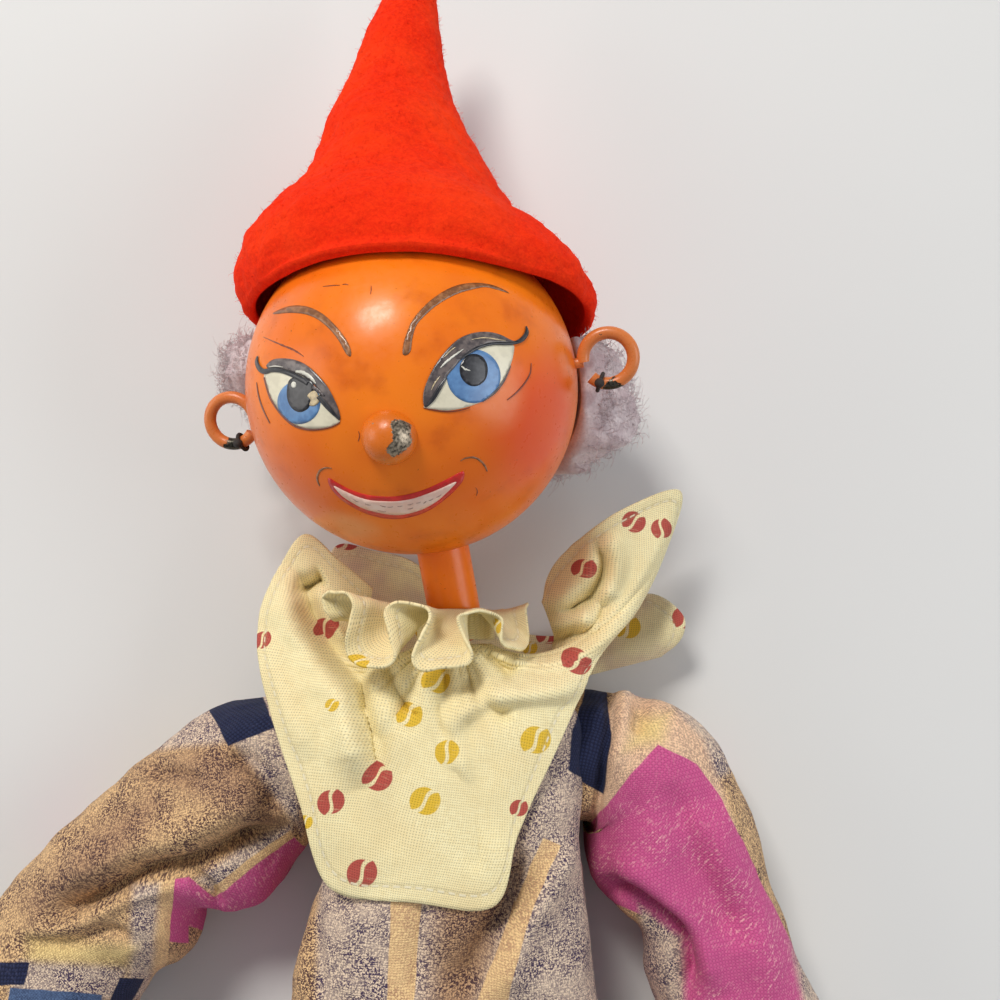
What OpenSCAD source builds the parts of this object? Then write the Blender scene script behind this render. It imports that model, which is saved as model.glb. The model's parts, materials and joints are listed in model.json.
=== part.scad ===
// Jester marionette lying on its back, all sizes in millimetres.
// Z is up from the table, Y runs towards the head, X towards the puppet's left hand.

/* [Head] */
// diameter of the turned ball
head_d = 58; // [50:0.5:66]
// height of the ball's centre above the neck hook, along the neck
head_up = 50.3; // [46:0.1:56]
// lean of the head to the puppet's right
head_roll = 10.2; // [0:0.1:20]
// lift of the head from the table
head_nod = 16.8; // [0:0.1:25]
// turn of the face to the puppet's right
head_yaw = 12.2; // [0:0.1:20]
// diameter of the neck dowel
neck_d = 9.5; // [8:0.5:12]
// depth of the neck dowel in the ball
neck_in = 14; // [8:1:20]
// diameter of the domed tack that makes the nose
nose_d = 8.6; // [6:0.1:11]
// height of the tack's dome
nose_h = 3.8; // [2.5:0.1:4.2]
// how far the nose sits below the ball's equator, as an angle
nose_drop = 10.6; // [0:0.2:14]
// how far the nose sits to the puppet's left of the middle, as an angle
nose_side = 4.4; // [0:0.2:8]
// wire of the screw eyes that make the ears
ear_wire = 2.2; // [1.6:0.1:2.8]
// middle radius of an ear's ring
ear_r = 4.3; // [3.6:0.1:5.5]
// gap between an ear's ring and the ball
ear_gap = 0.3; // [0.2:0.1:1.5]
// arc of wire in an ear's ring
ear_arc = 320; // [300:1:335]

/* [Hooks and pins] */
// wire of the small screw eyes and links
wire = 1.3; // [1:0.1:1.6]
// middle radius of a small ring
ring_r = 2.55; // [2.2:0.05:3]
// play between two hooked wires
hook_play = 0.1; // [0.05:0.05:0.2]
// gap between a bore and what fits in it, across
fit_gap = 0.1; // [0.05:0.05:0.3]
// diameter of the elbow, knee, hip and ankle pins
pin_d = 2; // [1.5:0.1:3]
// side play of a tongue in its slot
slot_gap = 0.4; // [0.2:0.1:0.8]

/* [Body] */
// width of the body block at the shoulders
block_w = 38; // [34:1:39]
// top of the body block
block_top = 25; // [22:1:28]
// bottom of the body block
block_end = -47; // [-52:1:-42]
// how far a shoulder hook stands out from the block
shoulder_out = 12; // [11:0.5:14]
// distance of a hip pin from the middle
hip_x = 13; // [11:0.5:15]

/* [Limbs] */
// diameter of the arm dowels
arm_d = 8.5; // [7:0.5:10]
// shoulder hook to elbow pin
upper_arm = 50; // [40:1:60]
// elbow pin to wrist hook
forearm = 46; // [36:1:56]
// thickness of the elbow tongue
arm_tongue = 3; // [2.4:0.2:4]
// spread of the left arm from straight down
left_spread = 21.5; // [14:0.5:40]
// spread of the right arm from straight down
right_spread = 49; // [24:1:60]
// bend of the right elbow
right_bend = 31; // [0:1:45]
// diameter of the leg dowels
leg_d = 10.5; // [9:0.5:12]
// hip pin to knee pin
thigh = 50; // [42:1:58]
// knee pin to ankle pin
shin = 48; // [40:1:56]
// spread of each leg
leg_spread = 5; // [0:0.5:8]
// droop of the toes
toe_droop = 25; // [15:1:35]
// thickness of the leg tongues
leg_tongue = 4; // [3:0.2:5]
// diameter of the string hole through each hand
string_d = 1.5; // [1:0.1:2]

/* [Cloth] */
// fullness of the suit beside the block at the hips
suit_pad = 7.8; // [7:0.2:10]
// height of the padded chest above the table
chest_h = 36; // [35:0.5:40]
// width of a sleeve where it is fullest
sleeve_w = 32; // [26:0.5:36]
// height of a sleeve above the table where it is fullest
sleeve_h = 27.4; // [26:0.2:32]
// height of a trouser leg above the table at the hip
leg_h = 34; // [33:0.5:38]
// neck hook to the lower edge of the collar's bib
collar_drop = 35; // [32:0.5:38]
// neck hook to the top of the frill's neckband
frill_up = 12.8; // [12.4:0.1:14]
// height of the frill's neckband
band_h = 5.4; // [4:0.1:6]
// thickness of the hat's felt
felt = 2; // [1.6:0.1:2.4]
// thickness of the collar's doubled cotton
cotton = 0.9; // [0.8:0.1:1.4]
// room round a dowel inside the padded suit
suit_room = 0.7; // [0.6:0.1:1.2]
// number of waves in the gathered frill
frill_waves = 8; // [6:1:10]
// depth of the frill's waves
frill_wave = 5.6; // [1:0.1:6]
// sideways swing of the hem, as an angle, that rounds each wave into a loop
frill_loop = 9; // [0:0.5:10]
// width of the frill from the neck out
frill_w = 11.4; // [8:0.2:14]

/* [Hidden] */
$fn = 64;
eps = 0.01;
head_r = head_d / 2;
hook = wire + hook_play;
pitch = 2 * ring_r - hook;
eye_len = 2 * ring_r + wire / 2;
neck_at = [0, block_top + 5.8, 18.5];
shoulder_at = [block_w / 2 + shoulder_out, block_top - 5, 17];
hip_at = [hip_x, -42, 15];
arm_slope = 6.5;
leg_slope = 2.7;
arm_r = arm_d / 2;
leg_r = leg_d / 2;
shoulder_in = 1.2;
sink = 1.6;
hat_tilt = 4;
ear_x = head_r + ear_gap + ear_r + ear_wire / 2;
band_r = neck_d / 2 + 1.45;
ball_at = place_y(head_up);
gather_at = place_y(8);

// colours
orange = [0.86, 0.42, 0.14];
red_felt = [0.80, 0.10, 0.06];
wool = [0.70, 0.66, 0.70];
cream = [0.93, 0.88, 0.70];
tweed = [0.55, 0.50, 0.50];
steel = [0.62, 0.62, 0.64];
wood = [0.80, 0.65, 0.45];
black = [0.10, 0.09, 0.09];

// a point on the neck's axis, the given way up from the neck hook, on the table's axes
function place_y(h) = let(c = cos(head_nod), s = sin(head_nod), q = pitch + h * c)
  [neck_at.x - q * sin(head_roll), neck_at.y + q * cos(head_roll), neck_at.z + h * s];

// places for things that hang on each other
module neck_place() translate(neck_at) rotate([0, 0, head_roll]) translate([0, pitch, 0])
  rotate([head_nod, 0, 0]) children();
module head_place() neck_place() rotate([0, -head_yaw, 0]) children();
module arm_place(s) translate([s * shoulder_at.x, shoulder_at.y, shoulder_at.z])
  rotate([0, 0, s > 0 ? left_spread : -right_spread]) children();
module arm_hang(s) arm_place(s) translate([0, -pitch, 0]) rotate([arm_slope, 0, 0]) children();
module upper_place(s) arm_hang(s) rotate([0, s > 0 ? 0 : 90, 0]) children();
module fore_place(s) upper_place(s) translate([0, -upper_arm, 0])
  rotate([s > 0 ? 0 : -right_bend, 0, 0]) children();
module wrist_place(s) fore_place(s) translate([0, -forearm, 0])
  rotate([0, s > 0 ? 0 : -90, 0]) children();
module hand_place(s) wrist_place(s) rotate([0, 0, s > 0 ? 0 : -right_bend])
  rotate([3 - arm_slope, 0, 0]) rotate([0, 0, s > 0 ? 0 : right_bend]) children();
module leg_place(s) translate([s * hip_at.x, hip_at.y, hip_at.z])
  rotate([0, 0, s * leg_spread]) children();
module thigh_place(s) leg_place(s) rotate([leg_slope, 0, 0]) children();
module shin_place(s) thigh_place(s) translate([0, -thigh, 0]) rotate([-0.9, 0, 0]) children();
module foot_place(s) shin_place(s) translate([0, -shin, 0]) rotate([toe_droop, 0, 0]) children();

// plain shapes
module rod_y(d, y0, y1) translate([0, min(y0, y1), 0]) rotate([-90, 0, 0])
  cylinder(d = d, h = abs(y1 - y0));
module rod_x(d, l) rotate([0, 90, 0]) cylinder(d = d, h = l, center = true);
module ring(r, w) rotate_extrude() translate([r, 0]) circle(d = w);

// a screw eye whose ring starts at the origin and runs to +Y, with its shank beyond
module screw_eye(r, w, shank_d, shank, arc) {
  translate([0, r, 0]) rotate([0, 0, 90]) rotate_extrude(angle = arc)
    translate([r, 0]) circle(d = w);
  translate([0, 2 * r, 0]) rotate([-90, 0, 0]) cylinder(d = shank_d, h = shank);
}
module small_eye(shank) screw_eye(ring_r, wire, wire, shank, 338);

// smooth sampling of a list of stations
function mix(a, b, c, d, t) = 0.5 * ((2 * b) + (c - a) * t + (2 * a - 5 * b + 4 * c - d) * t * t
  + (3 * b - a - 3 * c + d) * t * t * t);
function sample(k, u) = let(m = len(k) - 1, i = min(floor(u * m), m - 1), t = u * m - i)
  mix(k[max(i - 1, 0)], k[i], k[i + 1], k[min(i + 2, m)], t);
function bend_pow(v, e) = (v < 0 ? -1 : 1) * pow(abs(v), e);

// one closed cross-section of padded cloth that lies on the table
// k = [x, y, heading, half width, top], wave = [depth, count, phase]
function station(k, n, e, wave) = [for (i = [0:n - 1]) let(
    t = 360 * i / n, f = 1 + wave[0] * cos(wave[1] * t + wave[2]),
    a = k[3] * f * bend_pow(cos(t), e), mid = (k[4] - sink) / 2, h = (k[4] + sink) / 2)
  [k[0] - sin(k[2]) * a, k[1] + cos(k[2]) * a,
   max(0, mid + h * (sin(t) > 0 ? f : 1) * bend_pow(sin(t), e))]];

// skin between rings of n points each, closed at both ends
module loft(rings, n) {
  m = len(rings);
  polyhedron(
    points = [for (r = rings) for (p = r) p],
    faces = concat(
      [[for (j = [0:n - 1]) j]],
      [[for (j = [n - 1:-1:0]) (m - 1) * n + j]],
      [for (i = [0:m - 2]) for (j = [0:n - 1]) let(k = (j + 1) % n)
        [i * n + j, (i + 1) * n + j, (i + 1) * n + k]],
      [for (i = [0:m - 2]) for (j = [0:n - 1]) let(k = (j + 1) % n)
        [i * n + j, (i + 1) * n + k, i * n + k]]));
}
module cloth_tube(keys, m, n, e, depth, count, turn) loft(
  [for (i = [0:m]) let(u = i / m)
    station(sample(keys, u), n, e, [depth * sin(180 * u), count, turn * u])], n);

// a sheet of cloth between an upper grid of points and the same grid let down
function cross_unit(a, b) = let(c = cross(a, b)) c / max(norm(c), 1e-6);
module sheet(g, t) {
  m = len(g);
  n = len(g[0]);
  low = [for (i = [0:m - 1]) [for (j = [0:n - 1]) let(
      du = g[min(i + 1, m - 1)][j] - g[max(i - 1, 0)][j],
      dv = g[i][min(j + 1, n - 1)] - g[i][max(j - 1, 0)],
      q = g[i][j] - t * cross_unit(du, dv)) [q.x, q.y, max(0.05, q.z)]]];
  s = m * n;
  polyhedron(
    points = concat([for (r = g) for (p = r) p], [for (r = low) for (p = r) p]),
    faces = concat(
      [for (i = [0:m - 2]) for (j = [0:n - 2]) let(a = i * n + j, b = a + n)
        each [[a, a + 1, b + 1], [a, b + 1, b]]],
      [for (i = [0:m - 2]) for (j = [0:n - 2]) let(a = s + i * n + j, b = a + n)
        each [[a, b + 1, a + 1], [a, b, b + 1]]],
      [for (j = [0:n - 2]) each [[j, s + j + 1, j + 1], [j, s + j, s + j + 1]]],
      [for (j = [0:n - 2]) let(a = (m - 1) * n + j)
        each [[a, a + 1, s + a + 1], [a, s + a + 1, s + a]]],
      [for (i = [0:m - 2]) let(a = i * n) each [[a, a + n, s + a + n], [a, s + a + n, s + a]]],
      [for (i = [0:m - 2]) let(a = i * n + n - 1)
        each [[a, s + a + n, a + n], [a, s + a, s + a + n]]]));
}

// head: turned ball on its dowel, with a tack for a nose and screw eyes for ears
module head_ball() color(orange) head_place() translate([0, head_up, 0]) difference() {
  sphere(d = head_d);
  rod_y(neck_d + fit_gap, -head_r - 1, neck_in - head_r);
  rotate([nose_drop, nose_side, 0]) cylinder(d = 1.4 + fit_gap, h = head_r + 1);
  rod_x(1.8 + fit_gap, head_d + 2);
}
module neck_dowel() color(orange) head_place() difference() {
  rod_y(neck_d, eye_len - hook + 0.3, head_up - head_r + neck_in - 0.2);
  rod_y(wire + fit_gap, eye_len - hook, eye_len - hook + 9);
}
module nose_tack() color(orange) head_place() translate([0, head_up, 0])
  rotate([nose_drop, nose_side, 0]) {
    r = (nose_h * nose_h + nose_d * nose_d / 4) / (2 * nose_h);
    base = sqrt(head_r * head_r - nose_d * nose_d / 4) + 0.1;
    difference() {
      intersection() {
        translate([0, 0, base + nose_h - r]) sphere(r = r);
        translate([0, 0, base]) cylinder(d = nose_d + 2, h = nose_h + 2);
      }
      sphere(r = head_r + 0.05);
    }
    translate([0, 0, head_r - 9]) cylinder(d = 1.4, h = 9 + nose_h / 2);
  }
module ear_eye(s) color(orange) head_place() translate([0, head_up, 0])
  mirror([s > 0 ? 1 : 0, 0, 0]) translate([-ear_x - ear_r, 0, 0]) rotate([0, 0, -90])
    screw_eye(ear_r, ear_wire, 1.8, ear_x - ear_r - head_r + 8, ear_arc);
module ear_thread(s) color(black) head_place() translate([s * ear_x, head_up, 0])
  rotate([0, 0, s > 0 ? 243 : -75]) translate([ear_r, 0, 0]) rotate([90, 0, 0]) {
    r = ear_wire / 2 + 0.4;
    ring(r, 0.7);
    translate([0, r + 0.6, 0]) sphere(d = 1.7);
  }

// felt hat: rings from the brim to the tip, in ball radii from the ball's centre,
// each [x, y, z, half width, half depth, tilt]
hat_keys = [
  [0.04, 0.475, -0.05, 1.08, 0.96, 4], [0.005, 0.62, -0.07, 1.11, 1, 5],
  [-0.07, 0.82, -0.08, 1.015, 0.945, 6], [-0.11, 1.02, -0.095, 0.815, 0.805, 6],
  [-0.085, 1.19, -0.105, 0.695, 0.705, 6], [-0.1, 1.4, -0.105, 0.595, 0.61, 5],
  [-0.125, 1.61, -0.105, 0.505, 0.515, 4], [-0.145, 1.89, -0.12, 0.395, 0.4, 3],
  [-0.135, 2.145, -0.14, 0.31, 0.31, 2], [-0.115, 2.425, -0.175, 0.25, 0.25, 1],
  [-0.075, 2.72, -0.21, 0.18, 0.18, 0], [-0.03, 3.02, -0.245, 0.105, 0.105, 0],
  [-0.01, 3.2, -0.265, 0.04, 0.04, 0]];
function hat_key(u) = let(k = sample(hat_keys, u))
  [for (i = [0:5]) i < 3 ? ball_at[i] + head_r * k[i] : i < 5 ? head_r * k[i] : k[i]];
function clear_ball(p, r) = let(d = p - ball_at) norm(d) < r ? ball_at + d * r / norm(d) : p;
function hat_ring(k, n, grow, r_clear, low) = [for (i = [0:n - 1]) let(
    t = 360 * i / n, a = max(k[3] + grow, 0.3),
    b = max(k[4] + grow, 0.3) + (sin(t) < 0 ? 2.4 * min(1, a / 20) : 0),
    p = [k[0] - a * cos(t), k[1] + b * sin(t) * sin(k[5]), k[2] + b * sin(t) * cos(k[5])],
    q = clear_ball(p, r_clear)) [q.x, q.y, max(low, q.z)]];
module felt_hat() color(red_felt) {
  n = 28;
  m = 14;
  mi = 8;
  outer = [for (i = [0:m]) hat_ring(hat_key(i / m), n, 0, head_r + 0.9 + felt, 0)];
  inner = [for (i = [0:mi]) hat_ring(hat_key(i / m), n, -felt, head_r + 0.8, felt)];
  a = (m + 1) * n;
  polyhedron(
    points = concat([for (r = outer) for (p = r) p], [for (r = inner) for (p = r) p]),
    faces = concat(
      [for (i = [0:m - 1]) for (j = [0:n - 1]) let(k = (j + 1) % n)
        each [[i * n + j, (i + 1) * n + j, (i + 1) * n + k],
              [i * n + j, (i + 1) * n + k, i * n + k]]],
      [[for (j = [n - 1:-1:0]) m * n + j]],
      [for (i = [0:mi - 1]) for (j = [0:n - 1]) let(k = (j + 1) % n)
        each [[a + i * n + j, a + (i + 1) * n + k, a + (i + 1) * n + j],
              [a + i * n + j, a + i * n + k, a + (i + 1) * n + k]]],
      [[for (j = [0:n - 1]) a + mi * n + j]],
      [for (j = [0:n - 1]) let(k = (j + 1) % n) each [[j, k, a + k], [j, a + k, a + j]]]));
}

// wool hair: a lumpy band round the back of the ball, below the brim
// stations are [angle from the nape, thickness in ball radii, upper edge, lower edge],
// edges as latitudes
hair_keys = [[-84, 0.076, 22, 9], [-75, 0.331, 24, 4], [-62, 0.331, 24, -4], [-44, 0.152, 22, -12],
  [-10, 0.083, 18, -18], [15, 0.083, 18, -20], [35, 0.172, 20, -22], [52, 0.31, 21, -22],
  [66, 0.397, 22, -20], [78, 0.362, 22, -16], [88, 0.121, 20, -6]];
function hat_to_table(p) = ball_at + [p.x, p.y * cos(hat_tilt) + p.z * sin(hat_tilt),
  -p.y * sin(hat_tilt) + p.z * cos(hat_tilt)];
function hair_point(lon, r, lat) = let(
    p = hat_to_table([r * cos(lat) * sin(lon), r * sin(lat), -r * cos(lat) * cos(lon)]))
  [p.x, p.y, max(0, p.z)];
module wool_hair() color(wool) {
  n = 12;
  m = 24;
  rings = [for (i = [0:m]) let(k = sample(hair_keys, i / m))
    [for (j = [0:n - 1]) let(
        out = j > 4,
        u = out ? (j - 4) / 8 : 1 - j / 4,
        lat = k[3] + (k[2] - k[3]) * u,
        lump = 1 + 0.18 * sin(97 * i + 131 * j),
        r = head_r + 0.8 + (out ? head_r * k[1] * pow(sin(180 * u * 0.94 + 5), 0.6) * lump : 0))
      hair_point(k[0], r, lat)]];
  loft(rings, n);
}

// hooks of the neck
module neck_eye() color(steel) neck_place() translate([0, -hook, 0]) rotate([0, 90, 0])
  small_eye(8.5);
module neck_link() color(steel) translate(neck_at) rotate([0, 0, head_roll])
  translate([0, ring_r - hook, 0]) ring(ring_r, wire);
module torso_neck_eye() color(steel) translate(neck_at) rotate([0, 90, 0])
  rotate([180, 0, 0]) small_eye(8);

// body block, cut from board to a front outline and a side outline
hip_w = block_w - 1.2;
block_low = 5;
block_high = 29;
block_front = [[-block_w * 0.395, block_top], [block_w * 0.395, block_top],
  [block_w / 2 - 1.2, block_top - 3], [block_w / 2, block_top - 10], [block_w / 2 - 2.4, -8],
  [block_w / 2 - 2.6, -18], [hip_w / 2, -32], [hip_w / 2, block_end],
  [-hip_w / 2, block_end], [-hip_w / 2, -32], [2.6 - block_w / 2, -18], [2.4 - block_w / 2, -8],
  [-block_w / 2, block_top - 10], [1.2 - block_w / 2, block_top - 3]];
block_side = [[block_top, block_low + 3], [block_top, block_high - 4],
  [block_top - 4, block_high - 0.5], [-4, block_high], [-28, block_high - 5],
  [-36, block_high - 7], [block_end, block_high - 7], [block_end, block_low + 3],
  [-36, block_low + 3], [-28, block_low + 1.2], [-4, block_low], [block_top - 4, block_low + 0.2]];
hip_pin_l = block_w + 0.4 - 2 * hip_x;
module torso_block() color(wood) difference() {
  intersection() {
    linear_extrude(height = 2 * block_high) polygon(block_front);
    rotate([90, 0, 90]) linear_extrude(height = 2 * block_w, center = true) polygon(block_side);
  }
  translate(neck_at) rod_y(wire + fit_gap, -eye_len + wire / 2 - 8.4, 0);
  for (s = [-1, 1]) {
    translate([s * shoulder_at.x, shoulder_at.y, shoulder_at.z])
      rotate([0, -90 * s, 0]) cylinder(d = wire + fit_gap, h = 17);
    leg_place(s) {
      translate([-(leg_tongue + 2 + slot_gap) / 2, -9, -12])
        cube([leg_tongue + 2 + slot_gap, 9 + leg_r + 1, 24]);
      rod_x(pin_d + fit_gap, hip_pin_l + 0.8);
    }
  }
}
module shoulder_eye(s) color(steel) translate([s * shoulder_at.x, shoulder_at.y, shoulder_at.z])
  rotate([0, -90 * s, 0]) rotate([90, 0, 0]) small_eye(10.5);
module hip_pin(s) color(steel) leg_place(s) rod_x(pin_d, hip_pin_l);

// tunic: stations from the neckline to the waist, each [share of the block's length,
// side shift and fullness beside the block in suit pads, share of the chest's height]
tunic_rows = [[-0.042, 0, -0.51, 0.75], [0, 0, 0.154, 0.903], [0.139, -0.013, 0.308, 0.961],
  [0.306, -0.077, 0.256, 0.983], [0.472, -0.359, 0.718, 1], [0.625, -0.462, 0.949, 0.989],
  [0.819, -0.282, 1, 0.944]];
tunic_keys = [for (r = tunic_rows) [r[1] * suit_pad, block_top - r[0] * (block_top - block_end), -90,
  block_w / 2 + r[2] * suit_pad, r[3] * chest_h]];
waist_y = tunic_keys[len(tunic_keys) - 1][1];
tunic_e = 0.62;
function tunic_key(y) = [for (i = [0:4]) lookup(-y, [for (k = tunic_keys) [-k[1], k[i]]])];
function tunic_top(x, y) = y > tunic_keys[0][1] || y < waist_y ? 0 : let(k = tunic_key(y),
    v = abs(x - k[0]) / k[3]) v >= 1 ? 0
  : (k[4] - sink) / 2 + (k[4] + sink) / 2 * pow(1 - pow(v, 2 / tunic_e), tunic_e / 2);
module block_room() translate([-block_w / 2 - 0.5, block_end - 0.7, block_low - 0.6])
  cube([block_w + 1, block_top - block_end + 1.2, block_high - block_low + 1.2]);
module tunic() color(tweed) difference() {
  cloth_tube(tunic_keys, 12, 30, tunic_e, 0.03, 6, 40);
  block_room();
  translate(neck_at) rod_y(9, -6, 4);
  for (s = [-1, 1]) translate([s * shoulder_at.x, shoulder_at.y, shoulder_at.z])
    rotate([0, -90 * s, 0]) cylinder(d = 4, h = 14);
}

// collar: outline points from the left tip's upper edge round the front, each
// [x, y] in collar drops from the neck hook and z in chest heights from the table
bib_rows = [[0.366, 0.509, 0.511], [0.56, 0.709, 0.583], [0.817, 0.891, 0.639],
  [1.131, 1.003, 0.556], [1.07, 0.72, 0.472], [0.9, 0.391, 0.556], [0.67, 0.12, 0.722],
  [0.455, -0.29, 0.944], [0.26, -0.69, 1.006], [0.15, -1.01, 1.011], [-0.22, -1, 1.011],
  [-0.62, -0.94, 0.989], [-0.77, -0.56, 0.956], [-0.92, -0.2, 0.87],
  [-1.055, 0.211, 0.72], [-1.017, 0.491, 0.639], [-0.863, 0.76, 0.583], [-0.669, 0.623, 0.556],
  [-0.503, 0.486, 0.517]];
back_rows = [[-0.83, 0.5, 0.16], [-0.76, 0.75, 0.1], [-0.54, 0.72, 0.09], [-0.31, 0.64, 0.08],
  [-0.05, 0.4, 0.06], [0.35, 0.24, 0.05], [0.75, 0.28, 0.09], [1, 0.47, 0.25], [1.19, 0.34, 0.26],
  [1.16, 0.14, 0.2]];
function outline_at(rows, v) = let(r = sample(rows, v))
  [neck_at.x + r[0] * collar_drop, neck_at.y + r[1] * collar_drop, r[2] * chest_h];
function neck_ring(a, r, y) = [neck_at.x + r * cos(a), y, neck_at.z + r * sin(a)];
function gather(a, r, y) = [gather_at.x + r * cos(a), y, gather_at.z + r * sin(a)];
frill_y = neck_at.y + frill_up;
function lift(p, gap) = [p.x, p.y, max(p.z, tunic_top(p.x, p.y) + gap)];
module collar_front() color(cream) {
  m = 6;
  n = 36;
  sheet([for (i = [0:m]) let(w = i / m) [for (j = [0:n]) let(
      v = j / n, a = -20 + 220 * v, o = outline_at(bib_rows, v),
      q = gather(a, band_r + 0.1, frill_y - band_h - 1.2),
      c = neck_ring(a, collar_drop * (0.486 + 0.2 * abs(cos(a))), block_top + 2.6),
      fold = 1.4 * w * sin(360 * 4.5 * v + 40) * (1 - 0.5 * w))
    lift(q * (1 - w) * (1 - w) + c * 2 * w * (1 - w) + o * w * w + [0, 0, fold], 0.7)]],
    cotton);
}
module collar_back() color(cream) {
  m = 4;
  n = 24;
  sheet([for (i = [0:m]) let(w = i / m) [for (j = [0:n]) let(
      v = j / n, o = outline_at(back_rows, v),
      q = neck_ring(204 + 132 * v, collar_drop * 0.354, block_top + 3.4),
      p = q * (1 - w) + o * w)
    [p.x, p.y, max(0.3, p.z - 3.4 * sin(180 * w)
      + 1.6 * w * sin(360 * 3.5 * v) + 3 * w * max(0, v - 0.8) * 5 * sin(180 * w))]]], cotton);
}
module collar_frill() color(cream) {
  n = 90;
  ring_at = [for (i = [0:n - 1]) let(
      a = 360 * i / n, front = max(0, sin(a)), amp = 0.35 + 0.65 * front,
      turn = frill_waves * (a - 80), s = -bend_pow(cos(turn), 0.8),
      wide = frill_w * (0.3 + 0.7 * pow(front, 0.35)) * (1 - 0.1 * s * front),
      c = [for (k = [0, 0.5, 1]) gather(a + frill_loop * pow(k, 1.3) * amp * sin(2 * turn),
        band_r + wide * k,
        frill_y - (4 * front + 1.2) * k + frill_wave * amp * pow(k, 1.2) * s)
        - [4 * k * front, 0, 0]])
    [gather(a, band_r, frill_y - band_h), c[0], c[1], c[2], c[2] - [0, cotton, 0],
      c[1] - [0, cotton, 0], gather(a, band_r + cotton, frill_y - cotton),
      gather(a, band_r + cotton, frill_y - band_h)]];
  m = 8;
  polyhedron(
    points = [for (r = ring_at) for (p = r) p],
    faces = [for (i = [0:n - 1]) for (j = [0:m - 1]) let(
        k = (j + 1) % m, b = ((i + 1) % n) * m)
      each [[i * m + j, b + k, b + j], [i * m + j, i * m + k, b + k]]]);
}

// arms: dowels that fork round a tongue at the elbow, hung on hooks
module rounded_rod(d, y0, y1) intersection() {
  rod_y(d, y0, y1 - d / 2 - 1);
  union() {
    translate([-d, y1, -d]) cube([2 * d, y0 - y1, 2 * d]);
    translate([0, y1, 0]) rod_x(d, 2 * d);
  }
}
module fork_rod(d, tongue, y0, y1) difference() {
  rounded_rod(d, y0, y1);
  translate([-(tongue + slot_gap) / 2, y1 - d, -d])
    cube([tongue + slot_gap, 1.5 * d + 0.5, 2 * d]);
  translate([0, y1, 0]) rod_x(pin_d + fit_gap, 2 * d);
}
module tongue_rod(d, tongue, y1) difference() {
  intersection() {
    rod_y(d, d, y1);
    union() {
      rod_x(d - 0.5, tongue);
      translate([-tongue / 2, -d, -(d - 0.5) / 2]) cube([tongue, d, d - 0.5]);
      translate([-d, y1, -d]) cube([2 * d, -y1 - d / 2 - shoulder_in, 2 * d]);
    }
  }
  rod_x(pin_d + fit_gap, 2 * d);
}
module shoulder_link(s) color(steel) arm_place(s) translate([0, hook - ring_r, 0])
  ring(ring_r, wire);
module arm_eye(s) color(steel) arm_hang(s) translate([0, hook, 0]) rotate([0, 90, 0])
  rotate([180, 0, 0]) small_eye(8);
module upper_arm_rod(s) color(wood) upper_place(s) difference() {
  fork_rod(arm_d, arm_tongue, hook - eye_len - 0.3, -upper_arm);
  rod_y(wire + fit_gap, 0, hook - eye_len - 8.2);
}
module elbow_pin(s) color(steel) fore_place(s) rod_x(pin_d, arm_d * 0.86);
module forearm_rod(s) color(wood) fore_place(s) difference() {
  tongue_rod(arm_d, arm_tongue, eye_len + 0.2 - forearm);
  rod_y(wire + fit_gap, -forearm, -forearm + eye_len + 8.2);
}
module wrist_eye(s) color(steel) wrist_place(s) rotate([0, 90, 0]) small_eye(8);
module hand_eye(s) color(steel) hand_place(s) translate([0, hook, 0]) rotate([180, 0, 0])
  small_eye(6);
module hand(s) color(orange) hand_place(s) difference() {
  union() {
    hull() {
      translate([0, -8.1, 0]) sphere(r = 3.4, $fn = 16);
      for (x = [-1, 1]) translate([x * 3.4, -14.6, 0]) sphere(r = 3.2, $fn = 16);
    }
    for (x = [-1.5:1:1.5]) hull() {
      translate([x * 3.25, -15, 0]) sphere(r = 1.9, $fn = 10);
      translate([x * 3.5, -24.6 + abs(x) * 1.3 + (x * s > 1 ? 1.2 : 0), 0.6])
        sphere(r = 1.65, $fn = 10);
    }
    hull() {
      translate([-s * 3, -10.5, 0.4]) sphere(r = 2.2, $fn = 10);
      translate([-s * 8.2, -16.4, 0.8]) sphere(r = 1.7, $fn = 10);
    }
  }
  rod_y(wire + fit_gap, 0, hook - eye_len - 6.3);
  translate([0, -13.6, 0]) cylinder(d = string_d, h = 12, center = true);
}

// a station beside a bone, from its row of shares: [along the bone, to the side, turn, width, top]
function limb_key(at, dir, long, w, h, r) = [at.x + r[0] * long * sin(dir) + r[1] * w * cos(dir),
  at.y - r[0] * long * cos(dir) + r[1] * w * sin(dir), dir - 90 + r[2], r[3] * w, r[4] * h];

// sleeves
left_upper_rows = [[-0.003, -0.54, 68.5, 0.775, 0.949], [0.07, -0.26, 44.5, 0.863, 0.985],
  [0.19, -0.014, 10.5, 0.912, 0.985], [0.438, -0.039, 0.5, 0.938, 0.985],
  [0.652, -0.023, -0.5, 0.863, 0.949], [0.928, -0.017, -1.5, 0.85, 0.927],
  [1.013, -0.015, -0.5, 0.838, 0.912]];
left_lower_rows = [[0.027, -0.017, -0.5, 0.838, 0.912], [0.17, -0.015, -0.5, 0.85, 0.898],
  [0.405, -0.023, 0, 0.812, 0.825], [0.64, -0.019, 0, 0.662, 0.675],
  [0.815, -0.014, 0, 0.475, 0.504], [0.974, -0.019, 0, 0.431, 0.467]];
right_upper_rows = [[-0.09, 0.426, -41, 0.775, 0.912], [0.015, 0.247, -18, 0.863, 0.949],
  [0.178, 0.015, -4, 0.938, 0.985], [0.412, -0.037, -2, 0.963, 1], [0.683, -0.044, 0, 0.963, 0.985],
  [0.902, -0.016, 9, 0.988, 0.949], [1.007, 0.027, 15.5, 1, 0.934]];
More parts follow.
